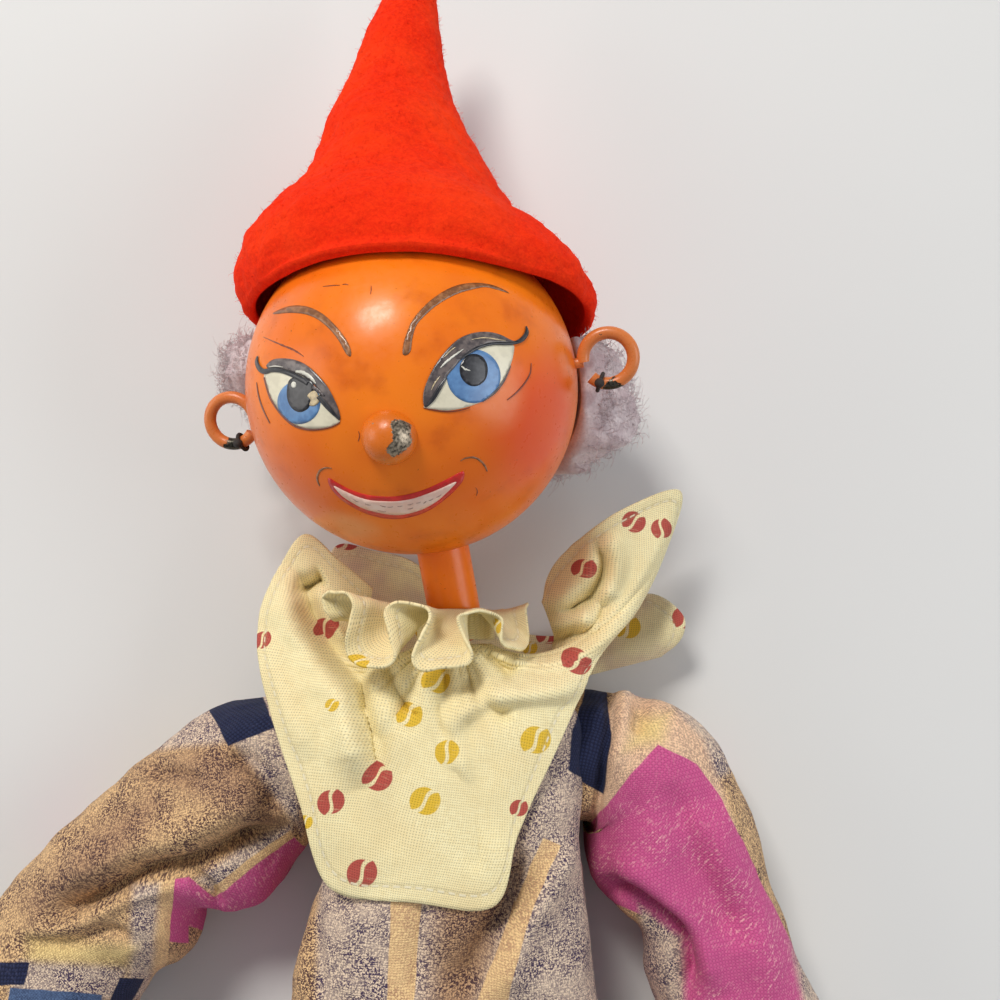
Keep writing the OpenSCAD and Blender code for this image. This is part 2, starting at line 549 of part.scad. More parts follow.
right_lower_rows = [[0.023, 0, -15.5, 1, 0.934], [0.204, -0.055, -4, 0.938, 0.912],
  [0.489, -0.053, 0, 0.875, 0.839], [0.732, -0.051, 0, 0.688, 0.679],
  [0.861, -0.05, 0, 0.475, 0.504], [0.985, -0.046, 0, 0.431, 0.467]];
arm_long = pitch + upper_arm * cos(arm_slope);
fore_long = forearm * cos(arm_slope);
function arm_dir(s) = s > 0 ? left_spread : -right_spread;
function fore_dir(s) = s > 0 ? left_spread : right_bend - right_spread;
function elbow_at(s) = [s * shoulder_at.x + arm_long * sin(arm_dir(s)),
  shoulder_at.y - arm_long * cos(arm_dir(s))];
function upper_keys(s) = [for (r = s > 0 ? left_upper_rows : right_upper_rows)
  limb_key([s * shoulder_at.x, shoulder_at.y], arm_dir(s), arm_long, sleeve_w / 2, sleeve_h, r)];
function lower_keys(s) = [for (r = s > 0 ? left_lower_rows : right_lower_rows)
  limb_key(elbow_at(s), fore_dir(s), fore_long, sleeve_w / 2, sleeve_h, r)];
module shoulder_room(s) {
  translate([s * shoulder_at.x, shoulder_at.y, shoulder_at.z]) {
    rotate([0, -90 * s, 0]) cylinder(r = ring_r + wire, h = 12);
    sphere(r = 7);
  }
}
module sleeve_upper(s) color(tweed) difference() {
  cloth_tube(upper_keys(s), 11, 18, 0.9, 0.05, 3, 540);
  shoulder_room(s);
  upper_place(s) {
    rod_y(arm_d + suit_room, 0, -upper_arm - 3);
    translate([0, -upper_arm, 0]) sphere(r = arm_d * 0.78);
  }
}
module sleeve_lower(s) color(tweed) difference() {
  cloth_tube(lower_keys(s), 9, 18, 0.9, 0.05, 3, 400);
  fore_place(s) {
    rod_y(arm_d + suit_room, 4, -forearm - 4);
    sphere(r = arm_d * 0.78);
  }
}

// legs
module thigh_rod(s) color(wood) thigh_place(s) difference() {
  union() {
    fork_rod(leg_d, leg_tongue, -10, -thigh);
    intersection() {
      rod_y(leg_d + 0.6, leg_r, -10 - eps);
      union() {
        rod_x(leg_d, leg_tongue + 2);
        translate([-leg_tongue / 2 - 1, -10 - eps, -leg_r]) cube([leg_tongue + 2, 10, leg_d]);
      }
    }
  }
  rod_x(pin_d + fit_gap, leg_d);
}
module knee_pin(s) color(steel) shin_place(s) rod_x(pin_d, leg_d * 0.86);
module shin_rod(s) color(wood) shin_place(s) difference() {
  union() {
    tongue_rod(leg_d, leg_tongue, 8 - shin);
    intersection() {
      rod_y(leg_d - 1, 9 - shin, -shin - leg_r);
      union() {
        translate([0, -shin, 0]) rod_x(leg_d - 2, leg_tongue);
        translate([-leg_tongue / 2, -shin, -leg_r + 1]) cube([leg_tongue, 9, leg_d - 2]);
      }
    }
  }
  translate([0, -shin, 0]) rod_x(pin_d + fit_gap, leg_d);
}
module ankle_pin(s) color(steel) foot_place(s) rod_x(pin_d, 12.2);
module shoe(s) color(orange) foot_place(s) difference() {
  union() {
    intersection() {
      union() {
        hull() {
          translate([0, -2.6, -0.4]) sphere(r = 6.3, $fn = 18);
          translate([0, -5, 3]) sphere(r = 6.6, $fn = 18);
        }
        hull() {
          translate([0, -5, 3]) sphere(r = 6.6, $fn = 18);
          translate([s * 0.8, -6, 19]) sphere(r = 7.4, $fn = 18);
        }
      }
      translate([-20, -9.4, -20]) cube([40, 30, 60]);
    }
    translate([0, -9.2, 0]) rotate([90, 0, 0]) linear_extrude(height = 1.9) {
      circle(r = 6.6);
      translate([s * 0.8, 18.6]) circle(r = 7.6);
      polygon([[-6.6, 0], [6.6, 0], [s * 0.8 + 7.6, 18.6], [s * 0.8 - 7.6, 18.6]]);
    }
  }
  translate([-(leg_tongue + slot_gap) / 2, -5.4, -14]) cube([leg_tongue + slot_gap, 20, 20.4]);
  rod_x(pin_d + fit_gap, 12.4);
}

// trouser legs
thigh_rows = [[-0.151, 0.061, -5, 0.915, 1], [0.001, 0.042, -5, 0.937, 0.982],
  [0.282, 0.026, -3, 0.986, 0.912], [0.523, 0.023, 0, 1, 0.853], [0.764, 0.019, 0, 0.972, 0.794],
  [0.997, 0.011, 0, 0.958, 0.765]];
shin_rows = [[0.005, 0.012, 0, 0.958, 0.765], [0.257, 0.012, 0, 0.958, 0.735],
  [0.508, 0.009, 0, 0.901, 0.694], [0.675, 0.009, 0, 0.746, 0.629], [0.813, 0.003, 0, 0.606, 0.571],
  [0.896, 0, 0, 0.563, 0.559]];
trouser_w = 2 * (hip_x + 1.2);
thigh_long = thigh * cos(leg_slope);
shin_long = shin * cos(leg_slope - 0.9);
function leg_keys(rows, s, past, long) = [for (r = rows)
  limb_key([s * (hip_x + past * sin(leg_spread)), hip_at.y - past * cos(leg_spread)], s * leg_spread,
    long, trouser_w / 2, leg_h, [r[0], s * r[1], s * r[2], r[3], r[4]])];
module trouser_upper(s) color(tweed) difference() {
  cloth_tube(leg_keys(thigh_rows, s, 0, thigh_long), 10, 20, 0.8, 0.035, 4, 200);
  block_room();
  thigh_place(s) {
    rod_y(leg_d + 0.6 + suit_room, -4, -thigh - 4);
    translate([0, -thigh, 0]) sphere(r = leg_d * 0.78);
  }
}
module trouser_lower(s) color(tweed) difference() {
  cloth_tube(leg_keys(shin_rows, s, thigh_long, shin_long), 9, 20, 0.8, 0.035, 4, 200);
  shin_place(s) {
    rod_y(leg_d + suit_room, 4, -shin - 4);
    sphere(r = leg_d * 0.78);
  }
}

module ear_eye_left() ear_eye(1);
module ear_eye_right() ear_eye(-1);
module ear_thread_left() ear_thread(1);
module ear_thread_right() ear_thread(-1);
module shoulder_eye_left() shoulder_eye(1);
module shoulder_eye_right() shoulder_eye(-1);
module hip_pin_left() hip_pin(1);
module hip_pin_right() hip_pin(-1);
module shoulder_link_left() shoulder_link(1);
module shoulder_link_right() shoulder_link(-1);
module upper_arm_rod_left() upper_arm_rod(1);
module upper_arm_rod_right() upper_arm_rod(-1);
module arm_eye_left() arm_eye(1);
module arm_eye_right() arm_eye(-1);
module elbow_pin_left() elbow_pin(1);
module elbow_pin_right() elbow_pin(-1);
module sleeve_upper_left() sleeve_upper(1);
module sleeve_upper_right() sleeve_upper(-1);
module forearm_rod_left() forearm_rod(1);
module forearm_rod_right() forearm_rod(-1);
module wrist_eye_left() wrist_eye(1);
module wrist_eye_right() wrist_eye(-1);
module sleeve_lower_left() sleeve_lower(1);
module sleeve_lower_right() sleeve_lower(-1);
module hand_left() hand(1);
module hand_right() hand(-1);
module hand_eye_left() hand_eye(1);
module hand_eye_right() hand_eye(-1);
module thigh_rod_left() thigh_rod(1);
module thigh_rod_right() thigh_rod(-1);
module knee_pin_left() knee_pin(1);
module knee_pin_right() knee_pin(-1);
module trouser_upper_left() trouser_upper(1);
module trouser_upper_right() trouser_upper(-1);
module shin_rod_left() shin_rod(1);
module shin_rod_right() shin_rod(-1);
module ankle_pin_left() ankle_pin(1);
module ankle_pin_right() ankle_pin(-1);
module trouser_lower_left() trouser_lower(1);
module trouser_lower_right() trouser_lower(-1);
module shoe_left() shoe(1);
module shoe_right() shoe(-1);

head_ball();
neck_dowel();
nose_tack();
ear_eye_left();
ear_eye_right();
ear_thread_left();
ear_thread_right();
wool_hair();
felt_hat();
neck_eye();
neck_link();
torso_block();
torso_neck_eye();
shoulder_eye_left();
shoulder_eye_right();
hip_pin_left();
hip_pin_right();
tunic();
collar_front();
collar_back();
collar_frill();
shoulder_link_left();
shoulder_link_right();
upper_arm_rod_left();
upper_arm_rod_right();
arm_eye_left();
arm_eye_right();
elbow_pin_left();
elbow_pin_right();
sleeve_upper_left();
sleeve_upper_right();
forearm_rod_left();
forearm_rod_right();
wrist_eye_left();
wrist_eye_right();
sleeve_lower_left();
sleeve_lower_right();
hand_left();
hand_right();
hand_eye_left();
hand_eye_right();
thigh_rod_left();
thigh_rod_right();
knee_pin_left();
knee_pin_right();
trouser_upper_left();
trouser_upper_right();
shin_rod_left();
shin_rod_right();
ankle_pin_left();
ankle_pin_right();
trouser_lower_left();
trouser_lower_right();
shoe_left();
shoe_right();
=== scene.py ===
import json
import math
import random

import bmesh
import bpy
import numpy as np
from mathutils import Matrix, Vector, noise
from mathutils.bvhtree import BVHTree
from mathutils.geometry import delaunay_2d_cdt
from mathutils.interpolate import poly_3d_calc


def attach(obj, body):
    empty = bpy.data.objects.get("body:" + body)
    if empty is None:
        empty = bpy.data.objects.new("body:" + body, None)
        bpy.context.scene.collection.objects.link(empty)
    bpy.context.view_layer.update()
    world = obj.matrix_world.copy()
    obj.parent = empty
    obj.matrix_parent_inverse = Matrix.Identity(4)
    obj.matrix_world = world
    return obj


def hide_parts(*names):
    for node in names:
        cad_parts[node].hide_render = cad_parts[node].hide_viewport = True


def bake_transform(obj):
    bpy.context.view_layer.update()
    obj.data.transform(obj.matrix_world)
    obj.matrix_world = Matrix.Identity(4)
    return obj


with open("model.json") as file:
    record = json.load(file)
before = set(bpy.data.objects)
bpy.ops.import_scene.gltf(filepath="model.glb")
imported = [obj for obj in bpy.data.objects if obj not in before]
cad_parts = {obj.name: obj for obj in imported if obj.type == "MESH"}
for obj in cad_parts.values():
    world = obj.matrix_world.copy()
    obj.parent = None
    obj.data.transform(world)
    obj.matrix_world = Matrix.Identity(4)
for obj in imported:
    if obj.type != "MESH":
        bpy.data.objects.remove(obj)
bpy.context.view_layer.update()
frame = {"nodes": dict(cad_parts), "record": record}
MM = 0.001
V = np.array

# camera: straight down on the chest, as the photograph was taken
CAM_AT = V([6.1, 37.0, 212.7])
CAM_EL = math.radians(82)
FOCAL = 1040.0
FRAME_PX = 1000.0
MID_PX = FRAME_PX / 2
SENSOR_MM = 36
FWD = V([0, math.cos(CAM_EL), -math.sin(CAM_EL)])
UP = V([0, math.sin(CAM_EL), math.cos(CAM_EL)])
RIGHT = V([1.0, 0, 0])


def pixel_ray(x, y):
    d = RIGHT * (x - MID_PX) / FOCAL + UP * (MID_PX - y) / FOCAL + FWD
    return d / np.linalg.norm(d)


def pixels_of(points):
    """pixels at which points in millimetres show"""
    d = points - CAM_AT
    return MID_PX + FOCAL * np.stack([d @ RIGHT, -(d @ UP)], -1) / (d @ FWD)[..., None]


def make_camera():
    data = bpy.data.cameras.new("camera")
    data.sensor_width = SENSOR_MM
    data.lens = FOCAL / FRAME_PX * SENSOR_MM
    data.clip_start = 0.01
    cam = bpy.data.objects.new("camera", data)
    bpy.context.scene.collection.objects.link(cam)
    m = Matrix([RIGHT, UP, -FWD]).transposed().to_4x4()
    m.translation = Vector(CAM_AT * MM)
    cam.matrix_world = m
    bpy.context.scene.camera = cam


make_camera()


# places of the parts, from the same sizes as the CAD source
def turn(axis, deg):
    return V(Matrix.Rotation(math.radians(deg), 4, axis))


def move(x, y, z):
    return V(Matrix.Translation((x, y, z)))


HEAD_R = 29.0
SHOULDER_X, SHOULDER_Y = 31.0, 20.0
HIP_X, HIP_Y, LEG_SPLAY = 13.0, -42.0, 5
UPPER_ARM, FOREARM, ARM_SLOPE = 50, 46, 6.5
THIGH_ROD, THIGH_SLOPE, SHIN_ROD, SHIN_SLOPE = 50, 2.7, 48, 1.8
# lowest that cloth lies over the table
CLOTH_LOW = 0.15
WIRE = 1.3
RING_R = 2.55
PITCH = 2 * RING_R - WIRE - 0.1
NECK_AT = V([0, 30.8, 18.5])
NECK = move(*NECK_AT) @ turn("Z", 10.2) @ move(0, PITCH, 0) @ turn("X", 16.8)
HEAD = NECK @ turn("Y", -12.2)
BALL = (HEAD @ V([0, 50.3, 0, 1]))[:3]
HEAD_X, HEAD_Y = HEAD[:3, 0], HEAD[:3, 1]


def side_of(s):
    return "left" if s > 0 else "right"


# node trees
def material(name, metallic=0.0, rough=0.6, **fixed):
    m = bpy.data.materials.new(name)
    m.use_nodes = True
    t = m.node_tree
    t.nodes.clear()
    out = t.nodes.new("ShaderNodeOutputMaterial")
    b = t.nodes.new("ShaderNodeBsdfPrincipled")
    t.links.new(b.outputs[0], out.inputs[0])
    b.inputs["Metallic"].default_value = metallic
    b.inputs["Roughness"].default_value = rough
    for k, v in fixed.items():
        b.inputs[k.replace("_", " ")].default_value = v
    return m, t, b


def give(t, socket, value):
    if isinstance(value, bpy.types.NodeSocket):
        t.links.new(value, socket)
    elif isinstance(value, (tuple, list, np.ndarray)):
        value = tuple(float(x) for x in value)
        if socket.type == "RGBA" and len(value) == 3:
            value = value + (1.0,)
        socket.default_value = value
    else:
        socket.default_value = value


def node(t, kind, *values, out=0, **options):
    n = t.nodes.new("ShaderNode" + kind)
    named = {}
    for k, v in options.items():
        if hasattr(n, k):
            setattr(n, k, v)
        else:
            named[k] = v
    for i, v in enumerate(values):
        if v is not None:
            give(t, n.inputs[i], v)
    for k, v in named.items():
        give(t, n.inputs[k.replace("_", " ")], v)
    return n.outputs[out]


def calc(t, op, a, b=0.0, c=None):
    n = t.nodes.new("ShaderNodeMath")
    n.operation = op
    give(t, n.inputs[0], a)
    give(t, n.inputs[1], b)
    if c is not None:
        give(t, n.inputs[2], c)
    return n.outputs[0]


def times(t, a, b):
    return calc(t, "MULTIPLY", a, b)


def plus(t, a, b):
    return calc(t, "ADD", a, b)


def vcalc(t, op, a, b=None, scale=None, out=0):
    n = t.nodes.new("ShaderNodeVectorMath")
    n.operation = op
    give(t, n.inputs[0], a)
    if b is not None:
        give(t, n.inputs[1], b)
    if scale is not None:
        give(t, n.inputs["Scale"], scale)
    return n.outputs[out]


def blend_colour(t, share, a, b, how="MIX"):
    n = t.nodes.new("ShaderNodeMix")
    n.data_type = "RGBA"
    n.blend_type = how
    give(t, n.inputs[0], share)
    give(t, n.inputs[6], a)
    give(t, n.inputs[7], b)
    return n.outputs[2]


def ramp(t, value, low, high, to_low=0.0, to_high=1.0):
    return node(t, "MapRange", value, low, high, to_low, to_high, interpolation_type="SMOOTHSTEP")


def noise_of(t, vector, scale, detail=3.0, rough=0.55, out=0):
    return node(t, "TexNoise", Vector=vector, Scale=scale, Detail=detail, Roughness=rough, out=out)


def in_mm(t):
    return vcalc(t, "SCALE", node(t, "TexCoord", out=3), scale=1000.0)


def bump(t, shader, height, strength, distance):
    give(t, shader.inputs["Normal"],
         node(t, "Bump", Strength=strength, Distance=distance * MM, Height=height))


def near_point(t, p, centre, inner, outer):
    d = vcalc(t, "DISTANCE", p, tuple(centre), out=1)
    return ramp(t, d, outer, inner)


# painted wood
def enamel(name, base, dark, bright, blush_and_glare=None):
    m, t, b = material(name, rough=0.34, Specular_IOR_Level=0.3, Coat_Weight=0.14, Coat_Roughness=0.16)
    p = in_mm(t)
    broad = noise_of(t, p, 0.045, 3)
    fine = noise_of(t, p, 0.9, 4)
    colour = blend_colour(t, ramp(t, broad, 0.35, 0.7), base, bright)
    colour = blend_colour(t, times(t, ramp(t, noise_of(t, p, 0.12, 4), 0.52, 0.75), 0.55), colour, dark)
    # tinted spots: cheek blush, and a painted highlight where the tint is pale
    if blush_and_glare:
        for centre, inner, outer, tint, share in blush_and_glare:
            mask = near_point(t, vcalc(t, "ADD", p, vcalc(t, "SCALE", noise_of(t, p, 0.15, 2, out=1),
                    scale=3.0)), V(centre) + 1.5, inner, outer)
            colour = blend_colour(t, times(t, mask, share), colour, tint)
    specks = ramp(t, noise_of(t, p, 1.5, 2), 0.735, 0.76)
    colour = blend_colour(t, times(t, specks, 0.6), colour, V(dark) * 0.35)
    give(t, b.inputs["Base Color"], colour)
    give(t, b.inputs["Roughness"], ramp(t, fine, 0.3, 0.8, 0.27, 0.42))
    bump(t, b, plus(t, noise_of(t, p, 0.5, 2), times(t, fine, 0.25)), 0.12, 0.12)
    return m


ORANGE = V([0.82, 0.155, 0.006])
ORANGE_DARK = V([0.55, 0.085, 0.004])
ORANGE_LIGHT = V([0.92, 0.215, 0.008])


def ball_point(x, y, lift=0.0):
    """the point of the ball that shows at a pixel of the picture, let out by lift"""
    d = pixel_ray(x, y)
    oc = CAM_AT - BALL
    q = oc @ d
    root = q * q - (oc @ oc - HEAD_R ** 2)
    hit = CAM_AT + d * (-q - math.sqrt(max(root, 0.0)))
    n = (hit - BALL) / np.linalg.norm(hit - BALL)
    return BALL + n * (HEAD_R + lift)


skin = enamel("painted_ball", ORANGE, ORANGE_DARK, ORANGE_LIGHT, blush_and_glare=[
    (ball_point(545, 425), 4.0, 15.0, (0.80, 0.050, 0.012), 0.68),
    (ball_point(300, 470), 3.0, 12.0, (0.66, 0.075, 0.012), 0.30),
    # a lighter, yellower spot below the eye on the puppet's left
    (ball_point(500, 400), 1.0, 6.0, (0.86, 0.27, 0.08), 0.35),
    # painted highlight: a pale glare on the lower left of the ball
    (ball_point(352, 528), 1.0, 6.5, (0.84, 0.40, 0.17), 0.5),
])
limb_paint = enamel("painted_limb", ORANGE, ORANGE_DARK, ORANGE_LIGHT)


def worn_paint(name, base, worn_at, worn_r, metal):
    m, t, b = material(name, rough=0.3)
    p = in_mm(t)
    edge = noise_of(t, p, 0.9, 5, 0.7)
    mask = None
    for c in worn_at:
        d = vcalc(t, "DISTANCE", p, tuple(c), out=1)
        d = plus(t, d, times(t, calc(t, "SUBTRACT", edge, 0.5), worn_r * 1.5))
        one = ramp(t, d, worn_r * 1.03, worn_r * 0.97)
        mask = one if mask is None else calc(t, "MAXIMUM", mask, one)
    small = ramp(t, noise_of(t, p, 1.1, 3), 0.70, 0.72)
    mask = calc(t, "MAXIMUM", mask, small) if mask is not None else small
    grime = noise_of(t, p, 2.2, 5)
    bare = blend_colour(t, ramp(t, grime, 0.35, 0.65), V(metal) * 0.25, metal)
    give(t, b.inputs["Base Color"], blend_colour(t, mask, blend_colour(t, noise_of(t, p, 0.3, 3), base,
            V(base) * 0.72), bare))
    give(t, b.inputs["Metallic"], times(t, mask, 0.85))
    give(t, b.inputs["Roughness"], ramp(t, grime, 0.3, 0.8, 0.24, 0.5))
    bump(t, b, calc(t, "SUBTRACT", times(t, noise_of(t, p, 1.2, 3), 0.3), mask), 0.5, 0.08)
    return m


def steel(name):
    m, t, b = material(name, metallic=1.0, rough=0.3)
    p = in_mm(t)
    give(t, b.inputs["Base Color"], blend_colour(t, noise_of(t, p, 0.8, 4), (0.42, 0.41, 0.40),
            (0.68, 0.68, 0.70)))
    give(t, b.inputs["Roughness"], ramp(t, noise_of(t, p, 3.0, 4), 0.3, 0.7, 0.22, 0.45))
    bump(t, b, noise_of(t, p, 6.0, 3), 0.15, 0.02)
    return m


def bare_wood(name):
    m, t, b = material(name, rough=0.62)
    p = vcalc(t, "MULTIPLY", in_mm(t), (1.0, 0.09, 1.0))
    grain = noise_of(t, p, 1.3, 6, 0.65)
    broad = noise_of(t, p, 0.22, 3)
    c = blend_colour(t, ramp(t, grain, 0.35, 0.7), (0.62, 0.40, 0.20), (0.40, 0.22, 0.095))
    give(t, b.inputs["Base Color"], blend_colour(t, ramp(t, broad, 0.3, 0.7, 0, 0.5), c,
            (0.70, 0.49, 0.27)))
    bump(t, b, grain, 0.25, 0.06)
    return m


def thread_mat(name, colour):
    m, t, b = material(name, rough=0.8)
    p = in_mm(t)
    give(t, b.inputs["Base Color"], blend_colour(t, noise_of(t, p, 4.0, 3), V(colour) * 0.5,
            V(colour) * 1.5))
    bump(t, b, noise_of(t, p, 8.0, 3), 0.5, 0.05)
    return m


# meshes in millimetres
def mesh_piece(name, verts, faces, mat, body=None, loops_uv=None, smooth=True):
    me = bpy.data.meshes.new(name)
    me.from_pydata([tuple(float(c) * MM for c in v) for v in verts], [],
            [tuple(int(i) for i in f) for f in faces])
    if loops_uv is not None:
        layer = me.uv_layers.new(name="cloth")
        layer.data.foreach_set("uv", np.asarray(loops_uv, np.float32).ravel())
    me.polygons.foreach_set("use_smooth", [smooth] * len(me.polygons))
    if mat:
        me.materials.append(mat)
    me.update()
    shape = bmesh.new()
    shape.from_mesh(me)
    bmesh.ops.recalc_face_normals(shape, faces=shape.faces)
    shape.to_mesh(me)
    shape.free()
    o = bpy.data.objects.new(name, me)
    bpy.context.scene.collection.objects.link(o)
    if body:
        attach(o, body)
    return o


def spline(keys, u):
    """smooth value at u, from 0 to 1, of a list of stations"""
    k = np.asarray(keys, float)
    m = len(k) - 1
    u = np.clip(np.asarray(u, float), 0, 1)
    i = np.minimum((u * m).astype(int), m - 1)
    f = (u * m - i)[..., None]
    a, b, c, d = k[np.maximum(i - 1, 0)], k[i], k[i + 1], k[np.minimum(i + 2, m)]
    return 0.5 * (2 * b + (c - a) * f + (2 * a - 5 * b + 4 * c - d) * f * f + (3 * b - a - 3 * c + d)
            * f ** 3)


def closed_curve(points, count):
    """count points evenly along a smooth closed line through the points"""
    p = np.asarray(points, float)
    n = len(p)
    dense = []
    for i in range(n):
        a, b, c, d = p[i - 1], p[i], p[(i + 1) % n], p[(i + 2) % n]
        for f in np.linspace(0, 1, 12, endpoint=False):
            dense.append(0.5 * (2 * b + (c - a) * f + (2 * a - 5 * b + 4 * c - d) * f * f
                    + (3 * b - a - 3 * c + d) * f ** 3))
    return even(V(dense + [dense[0]]), count + 1)[:-1]


def even(line, count):
    s = np.concatenate([[0], np.cumsum(np.linalg.norm(np.diff(line, axis=0), axis=1))])
    t = np.linspace(0, s[-1], count)
    return np.stack([np.interp(t, s, line[:, i]) for i in range(line.shape[1])], 1)


# face paint: outlines are drawn in the picture's pixels and laid on the ball
def paint(name, outline, lift, mat, count=90, step=3.0, thick=0.05, at=ball_point):
    edge = closed_curve(outline, count) if len(outline) < count else V(outline, float)
    n = len(edge)
    lo, hi = edge.min(0), edge.max(0)
    inside = []
    for x in np.arange(lo[0], hi[0], step):
        for y in np.arange(lo[1], hi[1], step):
            if within(edge, x + 0.13, y + 0.17) and np.min(np.hypot(*(edge - (x, y)).T)) > step * 0.5:
                inside.append((x, y))
    pts = [Vector(map(float, p)) for p in list(edge) + inside]
    v2, _, f2, *_ = delaunay_2d_cdt(pts, [(i, (i + 1) % n) for i in range(n)], [list(range(n))], 1, 1e-5)
    top = [at(p[0], p[1], lift) for p in v2]
    low = [at(p[0], p[1], lift - thick) for p in v2]
    faces = [tuple(f) for f in f2]
    c = len(v2)
    normal = np.cross(top[faces[0][1]] - top[faces[0][0]], top[faces[0][2]] - top[faces[0][0]])
    if normal @ (top[faces[0][0]] - BALL) < 0:
        faces = [f[::-1] for f in faces]
    edges = {}
    for f in faces:
        for i in range(len(f)):
            edges[(f[i], f[(i + 1) % len(f)])] = 1
    rim = [(a, b) for a, b in edges if (b, a) not in edges]
    whole = faces + [tuple(x + c for x in f[::-1]) for f in faces] + [(b, a, a + c, b + c) for a, b in rim]
    return mesh_piece(name, top + low, whole, mat, "head")


def within(edge, x, y):
    a, b = edge, np.roll(edge, -1, 0)
    cross = ((a[:, 1] > y) != (b[:, 1] > y))
    dy = np.where(b[:, 1] == a[:, 1], 1e-9, b[:, 1] - a[:, 1])
    xs = a[:, 0] + (y - a[:, 1]) / dy * (b[:, 0] - a[:, 0])
    return np.count_nonzero(cross & (xs > x)) % 2 == 1


def stroke(points, widths, count=40, waver=0.0, seed=1):
    """outline of a brush stroke of changing width along a smooth open line"""
    u = np.linspace(0, 1, count)
    line = spline(points, u)
    w = np.interp(u, np.linspace(0, 1, len(widths)), widths) / 2
    d = np.gradient(line, axis=0)
    d /= np.linalg.norm(d, axis=1)[:, None]
    side = np.stack([-d[:, 1], d[:, 0]], 1)
    rnd = random.Random(seed)
    wl = V([max(0.08, x * (1 + waver * (rnd.random() - 0.5))) for x in w])[:, None]
    wr = V([max(0.08, x * (1 + waver * (rnd.random() - 0.5))) for x in w])[:, None]
    return np.concatenate([line + side * wl, (line - side * wr)[::-1]])


def flat_paint(name, colour, rough=0.3, vary=0.3, scale=0.6, other=None):
    m, t, b = material(name, rough=rough, Coat_Weight=0.3, Coat_Roughness=0.2)
    p = in_mm(t)
    two = V(colour) * (1 - vary) if other is None else other
    c = blend_colour(t, ramp(t, noise_of(t, p, scale, 4), 0.4, 0.65), colour, two)
    give(t, b.inputs["Base Color"], c)
    bump(t, b, noise_of(t, p, scale * 3, 3), 0.1, 0.05)
    return m


def view_at(x0, y0, zoom=3):
    """reads points of an enlarged view of the picture whose corner is at that pixel"""
    return lambda *points: [(x0 + x / zoom, y0 + y / zoom) for x, y in points]


eye_r, eye_l, smile = view_at(240, 270, 8), view_at(390, 270, 8), view_at(300, 400, 8)


def ellipse(cx, cy, rx, ry, n=40, a0=0.0):
    return [(cx + rx * math.cos(a0 + 2 * math.pi * i / n), cy + ry * math.sin(a0 + 2 * math.pi * i / n))
            for i in range(n)]


def clip(points, keep):
    """points of a closed line moved onto the near edge of another closed line where they leave it"""
    k = V(keep)
    made = []
    for x, y in points:
        if within(k, x, y):
            made.append((x, y))
        else:
            q = closest(k, x, y)
            made.append(tuple(q))
    return made


def closest(edge, x, y):
    a, b = edge, np.roll(edge, -1, 0)
    ab = b - a
    f = np.clip((((x, y) - a) * ab).sum(1) / np.maximum((ab * ab).sum(1), 1e-9), 0, 1)
    q = a + ab * f[:, None]
    return q[np.argmin(np.hypot(*(q - (x, y)).T))]


